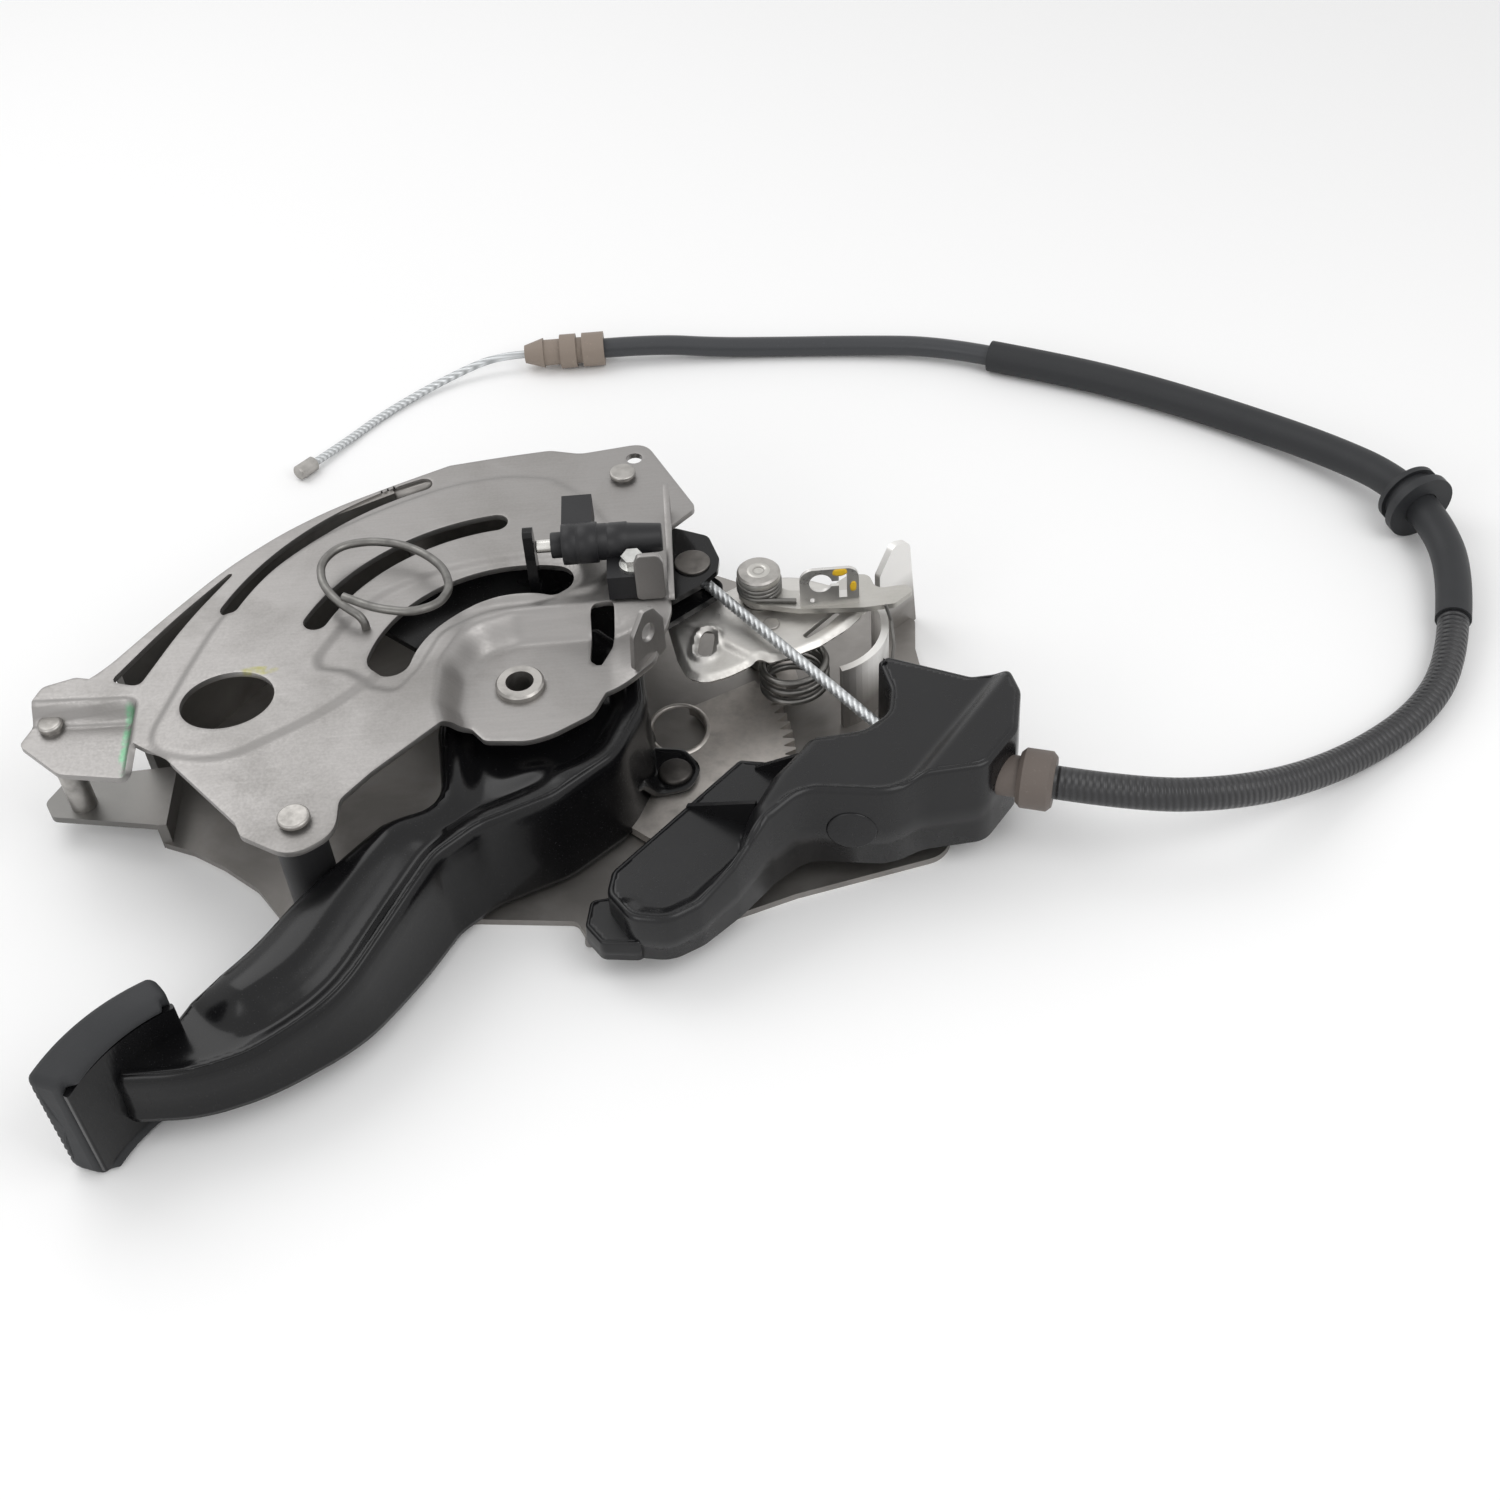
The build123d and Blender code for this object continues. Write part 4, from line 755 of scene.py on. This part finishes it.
# cover: one moulded shell over a low floor at the left and a high roof, with a raised block at the right
cover = {
    "floor": 32.0, "roof": 49.2, "block": 4.2, "bottom": 12.0, "wall": 2.2, "pitch": 1.1,
    "outline": [
        (139, 6, 2), (143, 9, 3), (174, -6, 6), (188, -5, 8), (191, -20, 10), (187, -40, 10), (173, -58, 10),
        (149, -60, 20), (136, -66, 20), (105, -61, 16), (92, -71, 16), (78, -86, 20), (64, -98, 14),
        (52, -104, 14), (38, -101, 10), (30, -86, 8), (32, -76, 6), (82, -24, 3), (104, -30, 3),
        (113, -32, 8), (130, -30, 12),
        (140, -22, 8), (142, -10, 10)],
    "step": [
        (112, -10), (104, -32, 6), (92, -46, 10), (83, -62, 10), (72, -110), (260, -110), (260, 60),
        (112, 60)],
    "blockSide": [(112, -97), (260, -97), (260, 60), (231, 60), (201, 19)],
    "gussets": [((88, -30), (104, -37.5)), ((61, -47), (87, -60))],
    "gussetLevels": {"foot": 31.0, "tip": 32.8, "high": 45.5},
    "tab": [(23, -80, 3), (21, -92, 3), (27, -101, 4), (42, -103, 3), (42, -78, 3)], "tabTop": 21.0,
    "disc": [(9.6, -1.0), (9.6, 0.5), (9.3, 0.9), (8.6, 1.05), (0.01, 1.05)], "discPlace": (122, -63.6, 30),
}


def coverHeight(x, y):
    # floor, a steep round shoulder up to the roof, the block's slope, and a lip along the front edge
    front = roundCorners(cover["outline"])[35:105]
    step = -distanceTo(roundCorners(cover["step"]), x, y)
    slope = -distanceTo(np.array(cover["blockSide"], float), x, y)
    rise = cover["roof"] - cover["floor"]
    shoulder = 1 - (1 - np.clip((step + 1.0) / 10.0, 0, 1)) ** 2.6
    base = cover["floor"] + rise * shoulder + cover["block"] * ease(slope, 0, 8.0)
    fromFront = pathDistance(front, x, y)
    lip = (rise * ease(x, 60, 103) + 1.6) * (1 - ease(fromFront, 3.0, 8.5))
    bead = 0.5 * np.exp(-((fromFront - 2.4) / 1.4) ** 2) * ease(-slope, -4, 2)
    return np.maximum(base, cover["floor"] + lip) + bead


def mouldedBlock(name, outline, bottom, top, edge, body, slot):
    # open moulded box with draft and a rounded top edge, under a level or a height field
    shape = roundCorners(outline, steps=10)
    height = top if callable(top) else (lambda x, y: top + 0 * x)

    def under(drop):
        return lambda x, y: height(x, y) - drop
    rows = [(-0.5, bottom), (-0.25, lambda x, y: (bottom + height(x, y)) / 2), (0.0, under(edge))]
    for degrees in (25, 50, 75):
        turn = math.radians(degrees)
        rows.append((edge * (1 - math.cos(turn)), under(edge * (1 - math.sin(turn)))))
    rows.append((edge + 0.2, height))

    def field(x, y):
        return distanceTo(shape, x, y) + edge + 0.1
    low, high = shape.min(0) - 1, shape.max(0) + 1
    skin = sheetGrid(field, height, (low[0], high[0], low[1], high[1]), cover["pitch"])
    return meshPiece(name, *together(closedWall(shape, rows), skin), body, slot)


def makeCover():
    made = ("bracket", "cover_plastic")
    shell = mouldedBlock("coverShell", cover["outline"], cover["bottom"], coverHeight, 1.9, *made)
    tab = mouldedBlock("coverTab", cover["tab"], cover["bottom"], cover["tabTop"], 1.2, *made)
    for piece in (shell, tab):
        thicken(piece, cover["wall"], edge=0)
    lathe("coverDisc", cover["disc"], cover["discPlace"], *made, (-0.159, -0.987, 0))
    points, cells, level = [], [], cover["gussetLevels"]
    for tip, foot in cover["gussets"]:
        tip, foot = np.array(tip, float), np.array(foot, float)
        across = np.array([-(foot - tip)[1], (foot - tip)[0]]) / np.linalg.norm(foot - tip) * 0.9
        base = len(points)
        for shift in (-across, across):
            points += [(*(tip + shift), level["foot"]), (*(tip + shift), level["tip"]),
                       (*(foot + shift), level["foot"]), (*(foot + shift), level["high"])]
        cells += [[base + n for n in face] for face in (
            (0, 2, 3, 1), (4, 5, 7, 6), (1, 3, 7, 5), (0, 1, 5, 4), (2, 6, 7, 3), (0, 4, 6, 2))]
    meshPiece("coverGussets", points, cells, *made, smooth=False)
    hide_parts("plastic_cover")


# pad: rubber cap along an arc, its section a C that grips the plate, closed at both ends
pad = {
    "outer": [(-124, -126), (-147, -143), (-161, -166)],
    "inner": [(-117, -136), (-136.5, -151), (-148, -171)],
    "base": 0.5, "height": 55.0, "rib": 4.0, "ribDepth": 0.1, "endRound": 3.5, "endWall": 6.0,
}


def arcThrough(first, middle, last, share):
    # circle through three places, walked from the first to the last
    (ax, ay), (bx, by), (cx, cy) = first, middle, last
    twice = 2 * (ax * (by - cy) + bx * (cy - ay) + cx * (ay - by))
    first2, middle2, last2 = ax * ax + ay * ay, bx * bx + by * by, cx * cx + cy * cy
    centreX = (first2 * (by - cy) + middle2 * (cy - ay) + last2 * (ay - by)) / twice
    centreY = (first2 * (cx - bx) + middle2 * (ax - cx) + last2 * (bx - ax)) / twice
    start, end = math.atan2(ay - centreY, ax - centreX), math.atan2(cy - centreY, cx - centreX)
    end = start + (end - start + math.pi) % (2 * math.pi) - math.pi
    angle = start + (end - start) * share
    radius = math.hypot(ax - centreX, ay - centreY)
    return np.stack([centreX + radius * np.cos(angle), centreY + radius * np.sin(angle)], -1)


def padSection():
    # (depth share, level, how far the point closes the cavity) round the C, outer face first with its ribs
    top = pad["height"]
    level = np.arange(4.5, top - 4.4, 0.5)
    rib = pad["ribDepth"] * (1 - np.abs(np.cos(np.pi * level / pad["rib"])))
    outer = [(share, spot, 0) for share, spot in zip(rib, level)]
    upper = [(0.02, top - 2.6, 0), (0.11, top - 0.9, 0), (0.26, top, 0), (0.86, top, 0), (1.12, top - 0.4, 0),
             (1.27, top - 1.6, 0), (1.27, top - 3.4, 0), (1.16, top - 4.5, 0), (1.0, top - 4.8, 0)]
    cavity = [(0.7, top - 5.4, 1), (0.6, top - 8.0, 1), (0.58, top / 2 + 8, 1), (0.58, top / 2 - 8, 1)]
    mirrored = [(share, top - spot, closes) for share, spot, closes in reversed(upper + cavity[:2])]
    return np.array(outer + upper + cavity + mirrored, float)


def makePad():
    section = padSection()
    share = np.concatenate([np.linspace(0, 0.12, 12), np.linspace(0.13, 0.87, 40), np.linspace(0.88, 1, 12)])
    outer, inner = (arcThrough(*pad[key], share) for key in ("outer", "inner"))
    length = np.linalg.norm(np.diff(outer, axis=0), axis=1).sum()
    fromEnd = np.minimum(share, 1 - share) * length
    bend = pad["endRound"]
    inset = bend * (1 - np.sqrt(1 - (1 - np.clip(fromEnd / bend, 0, 1)) ** 2))
    thick = np.linalg.norm(inner - outer, axis=1)
    closing = 1 - ease(fromEnd, pad["endWall"] - 3, pad["endWall"])
    depth = section[None, :, 0] + section[None, :, 2] * closing[:, None] * (0.97 - section[None, :, 0])
    depth -= np.maximum(depth - 0.97, 0) * closing[:, None]
    middle = 0.5
    depth = middle + (depth - middle) * (1 - inset / (middle * thick))[:, None]
    half = pad["height"] / 2
    level = half + (section[None, :, 1] - half) * (1 - inset / half)[:, None]
    spot = outer[:, None] + (inner - outer)[:, None] * depth[..., None]
    rings = np.concatenate([spot, pad["base"] + level[..., None]], -1)
    hearts = [np.array([*((outer[end] + inner[end]) / 2), pad["base"] + half]) for end in (0, -1)]
    shrunk = [[heart + scale * (rings[end] - heart) for scale in (0, 0.5, 0.96)]
              for heart, end in zip(hearts, (0, -1))]
    points = np.concatenate([np.array(shrunk[0]), rings, np.array(shrunk[1])[::-1]]).reshape(-1, 3)
    piece = meshPiece("padRubber", points, ringsToFaces(len(share) + 6, len(section)), "pedal", "pad_rubber")
    soft = np.ones(len(piece.data.polygons), bool)
    soft[:3 * len(section)] = soft[-3 * len(section):] = False
    piece.data.polygons.foreach_set("use_smooth", soft)
    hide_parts("pedal_pad")


# control plate: leaf with a rolled edge, a raised ring round its slot and an arc slot, then pin cap and coil
control = {
    "level": 38.0, "sheet": 2.5, "pin": (95.53, 60.52),
    "outline": [
        (55, 60, 3), (60, 30, 10), (63, 21, 5), (70, 16.5, 8), (80, 19), (88, 23.5, 6), (93, 26.5, 3),
        (97, 23.5, 3), (106, 26, 20), (118, 31, 20), (130, 40, 12), (141, 52, 4), (136, 62, 8), (112, 74, 14),
        (94, 76, 8),
        (78, 66, 12)],
    "arcSlot": [(111, 36, 2), (119, 44, 12), (126, 51, 2), (129, 49, 2), (120, 39, 12), (113, 34, 2)],
    "slot": {"centre": (72, 36.5), "turn": 80, "half": 3.6, "radius": 3.0}, "pinHole": 7.6,
    "cap": [
        (5.0, 49.85), (8.4, 49.9), (9.0, 50.7), (9.0, 52.0), (8.5, 52.9), (7.6, 53.3), (6.4, 53.4),
        (5.9, 53.0), (5.1, 53.1), (4.5, 53.6), (2.9, 53.7), (2.3, 53.1), (1.0, 53.2), (0.01, 53.3)],
    "coil": {"centre": (107, 31, 13.5), "half": (13, 12), "turns": 3.2, "pitch": 5.2, "wire": 1.5},
}
marks = [  # paint on the clip: foot line's start and end, its level, corners as share of the line and rise
    ((124.5, 46.9), (131, 46.9), 59.2, [(0, 0.3), (0.55, -0.6), (1, 0.6), (0.95, 3.2), (0.12, 3.1)]),
    ((131.5, 46.9), (134.6, 46.9), 50.0, [(0.2, 0), (0.9, 0.6), (1, 4.5), (0.5, 6.2), (0.05, 3.4)]),
]


def controlSlot(x, y):
    # distance to the oval slot: a run of half length either side of its centre, with round ends
    slot = control["slot"]
    turn, (middleX, middleY) = math.radians(slot["turn"]), slot["centre"]
    along = (x - middleX) * math.cos(turn) + (y - middleY) * math.sin(turn)
    across = (y - middleY) * math.cos(turn) - (x - middleX) * math.sin(turn)
    return np.hypot(np.maximum(np.abs(along) - slot["half"], 0), across) - slot["radius"]


def controlHeight(x, y):
    # rolled edge, raised ring round the oval slot, and a step up behind the fold that runs to the notch
    edge = -distanceTo(roundCorners(control["outline"]), x, y)
    ring = np.exp(-((controlSlot(x, y) - 2.0) / 1.1) ** 2)
    fold = (x - 60) * -0.66 + (y - 52) * -0.75
    return control["level"] - 2.0 * (1 - ease(edge, 0, 2.6)) + 1.4 * ring - 1.6 * ease(fold, -2, 1.5)


def controlField(x, y):
    edge = distanceTo(roundCorners(control["outline"]), x, y)
    holes = [controlSlot(x, y), distanceTo(roundCorners(control["arcSlot"]), x, y),
             np.hypot(x - control["pin"][0], y - control["pin"][1]) - control["pinHole"]]
    for hole in holes:
        edge = np.maximum(edge, -hole)
    return edge


def makeControl():
    points, cells = sheetGrid(controlField, controlHeight, (52, 144, 13, 79), 0.9)
    plate = meshPiece("controlLeaf", points, cells, "bracket", "olive_plate",
                      finish=ownFinish["control_plate"])
    thicken(plate, control["sheet"])
    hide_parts("control_plate")
    lathe("pinCap", control["cap"], (*control["pin"], 0), "bracket", "turned_steel",
          finish=finishes["olive_plate"])
    coil = control["coil"]
    turn = np.linspace(0, 2 * np.pi * coil["turns"], 220)
    route = np.column_stack([
        coil["centre"][0] + coil["half"][0] * np.cos(turn),
        coil["centre"][1] + coil["half"][1] * np.sin(turn),
        coil["centre"][2] + coil["pitch"] * turn / (2 * np.pi)])
    tubeAlong("brakeCoil", route, coil["wire"], "bracket", "spring_steel", 14)
    for number, mark in enumerate(marks):
        makeLug(f"clipMark{number}", *mark, None, "pawl_lever", "clip_plate", 0.12, yellowPaint)


# switch: turned barrel with a collar, two grooves and a tapered nose, round the plunger's axis
switch = {
    "start": (14.5, 52.0, 82.0),
    "barrel": [
        (4.9, 0.1), (5.15, 0.5), (5.15, 4.4), (7.4, 4.5), (8.15, 5.1), (8.15, 10.0), (7.85, 10.3),
        (7.85, 11.1), (8.15, 11.4), (8.15, 18.2), (7.3, 18.6), (7.3, 22.0), (7.1, 22.3), (7.1, 23.0),
        (7.3, 23.3), (7.3, 30.2), (6.7, 30.8), (5.6, 43.4), (5.2, 43.9), (0.01, 43.9)],
}


def makeSwitch():
    lathe("switchBarrel", switch["barrel"], switch["start"], "bracket", "switch_plastic", (1, 0, 0), 40)


# inner wire: from its eye straight to the cover, then bent into the fitting
wire = {
    "eye": (68.7, 69.2, 47.2), "corner": (151.98, -36.82, 35.0), "far": (163.4, -40.5, 35.0),
    "clearOfEye": 7.8, "radius": 2.35, "strands": 7, "lay": 0.5, "smoothing": 60,
    "bendFrom": 0.4,  # share of the run from the eye at which a bend point is taken
}


def makeWire():
    # two straight runs, their corner softened by averaging neighbours
    eye, corner, far = (np.array(wire[key]) for key in ("eye", "corner", "far"))
    heading = (corner - eye) / np.linalg.norm(corner - eye)
    start = eye + heading * wire["clearOfEye"]
    straight = start + (corner - start) * np.linspace(0, 1, 190)[:, None]
    tail = corner + (far - corner) * np.linspace(0, 1, 16)[1:, None]
    route = np.concatenate([straight, tail])
    for _ in range(wire["smoothing"]):
        route[1:-1] = (route[:-2] + 2 * route[1:-1] + route[2:]) / 4
    piece = tubeAlong("laidWire", route, wire["radius"], None, "bright_wire", 42,
                      strands=wire["strands"], lay=wire["lay"])
    bend = start + (corner - start) * wire["bendFrom"]
    tuple(bend * mm)
    tuple((start + heading * 2) * mm)
    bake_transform(piece)
    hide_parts("inner_wire")


# flange along the lower plate's front edge, as a lug
frontFlange = ((19, -84.6), (57, -85.2), 0.1, [(0, 0), (1, 0), (1, 5.6), (0.06, 6.2), (0, 4)])


# cable: each run's node, slot, thickness, length, far end, the nodes that go with it, and its route
cable = {
    "ribbed": {
        "node": "ribbed_conduit", "slot": "conduit_plastic", "diameter": 12.9, "length": 234.6,
        "end": "object", "with": [], "route": [
            (199.53, -52.27, 35), (230.92, -62.47, 35), (264, -59.5, 29), (297, -43, 15), (329, -24, 7.0),
            (356.5, -5, 6.6), (376.2, 20.3, 7.4), (384.3, 45.3, 9.3)]},
    "sleeve": {
        "node": "cable_sleeve", "slot": "sleeve_rubber", "diameter": 15.0, "length": 299.2,
        "end": "object", "with": ["grommet"], "route": [
            (384.3, 45.3, 9.3), (392.91, 71.87, 11.32), (392.6, 99.5, 14.7), (382.5, 130, 16.5),
            (362, 160, 12.0), (331, 192, 8.0), (294, 220, 7.6), (257, 242, 8.0), (220, 260.5, 7.5)]},
    "thin": {
        "node": "thin_conduit", "slot": "conduit_plastic", "diameter": 9.8, "length": 195.4,
        "end": "fitting", "with": ["far_fitting"], "route": [
            (220, 260.5, 7.5), (194.96, 273.02, 7.16), (157, 281.5, 5.2), (118, 286, 4.95), (84, 289, 5.8),
            (56, 291.5, 8.6), (29, 291.5, 8.6)]},
    "bare": {
        "node": "bare_wire", "slot": "bright_wire", "diameter": 3.8, "length": 128.2,
        "end": "fitting", "with": ["end_slug"], "route": [
            (-11, 291.5, 8.6), (-26, 291.5, 8.6), (-46, 285, 4.6), (-66, 272.5, 2.4), (-84, 256, 2.1),
            (-98, 239, 2.2), (-112, 222, 3.7)]},
}


def layCable(name):
    part = cable[name]
    curve = bpy.data.curves.new(name + "Run", "CURVE")
    curve.dimensions = "3D"
    curve.bevel_depth = part["diameter"] / 2 * mm
    curve.bevel_resolution = 8
    curve.use_fill_caps = True
    spline = curve.splines.new("NURBS")
    spline.points.add(len(part["route"]) - 1)
    for point, spot in zip(spline.points, part["route"]):
        point.co = (*[level * mm for level in spot], 1)
    spline.order_u = 3
    spline.use_endpoint_u = True
    spline.resolution_u = 16
    run = bpy.data.objects.new(name + "Run", curve)
    bpy.context.collection.objects.link(run)
    curve.materials.append(finishOf(part["node"], part["slot"]))
    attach(run, "bracket")
    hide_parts(part["node"])
    return run


def layCables():
    runs = {name: layCable(name) for name in cable}
    for name, run in runs.items():
        part = cable[name]
        [spot * mm for spot in part["route"][0]]
        part["length"] * mm
        part["diameter"] * mm


def layFloor():
    size = studio["floorHalf"]
    corners = [(-size, -size, 0), (size, -size, 0), (size, size, 0), (-size, size, 0)]
    mesh = bpy.data.meshes.new("floor")
    mesh.from_pydata(corners, [], [(0, 1, 2, 3)])
    floor = bpy.data.objects.new("floor", mesh)
    bpy.context.collection.objects.link(floor)
    look = Look("floorPaper", Roughness=0.9)
    look.shader.inputs["Base Color"].default_value = studio["floorColor"]
    mesh.materials.append(look.material)


aimCamera()
lightTheStudio()
layFloor()
dressNodes()
layCables()
print("cable laid")
makeUpperPlate()
makeRearWall()
print("upper plate pressed")
makeArm()
print("arm pressed")
makeEar()
makePad()
print("pad moulded")
makeCover()
print("cover moulded")
makeControl()
makeSwitch()
makeWire()
makeLug("frontFlange", *frontFlange, finish=finishes["zinc_plate"])
print("control plate, wire and marks made")
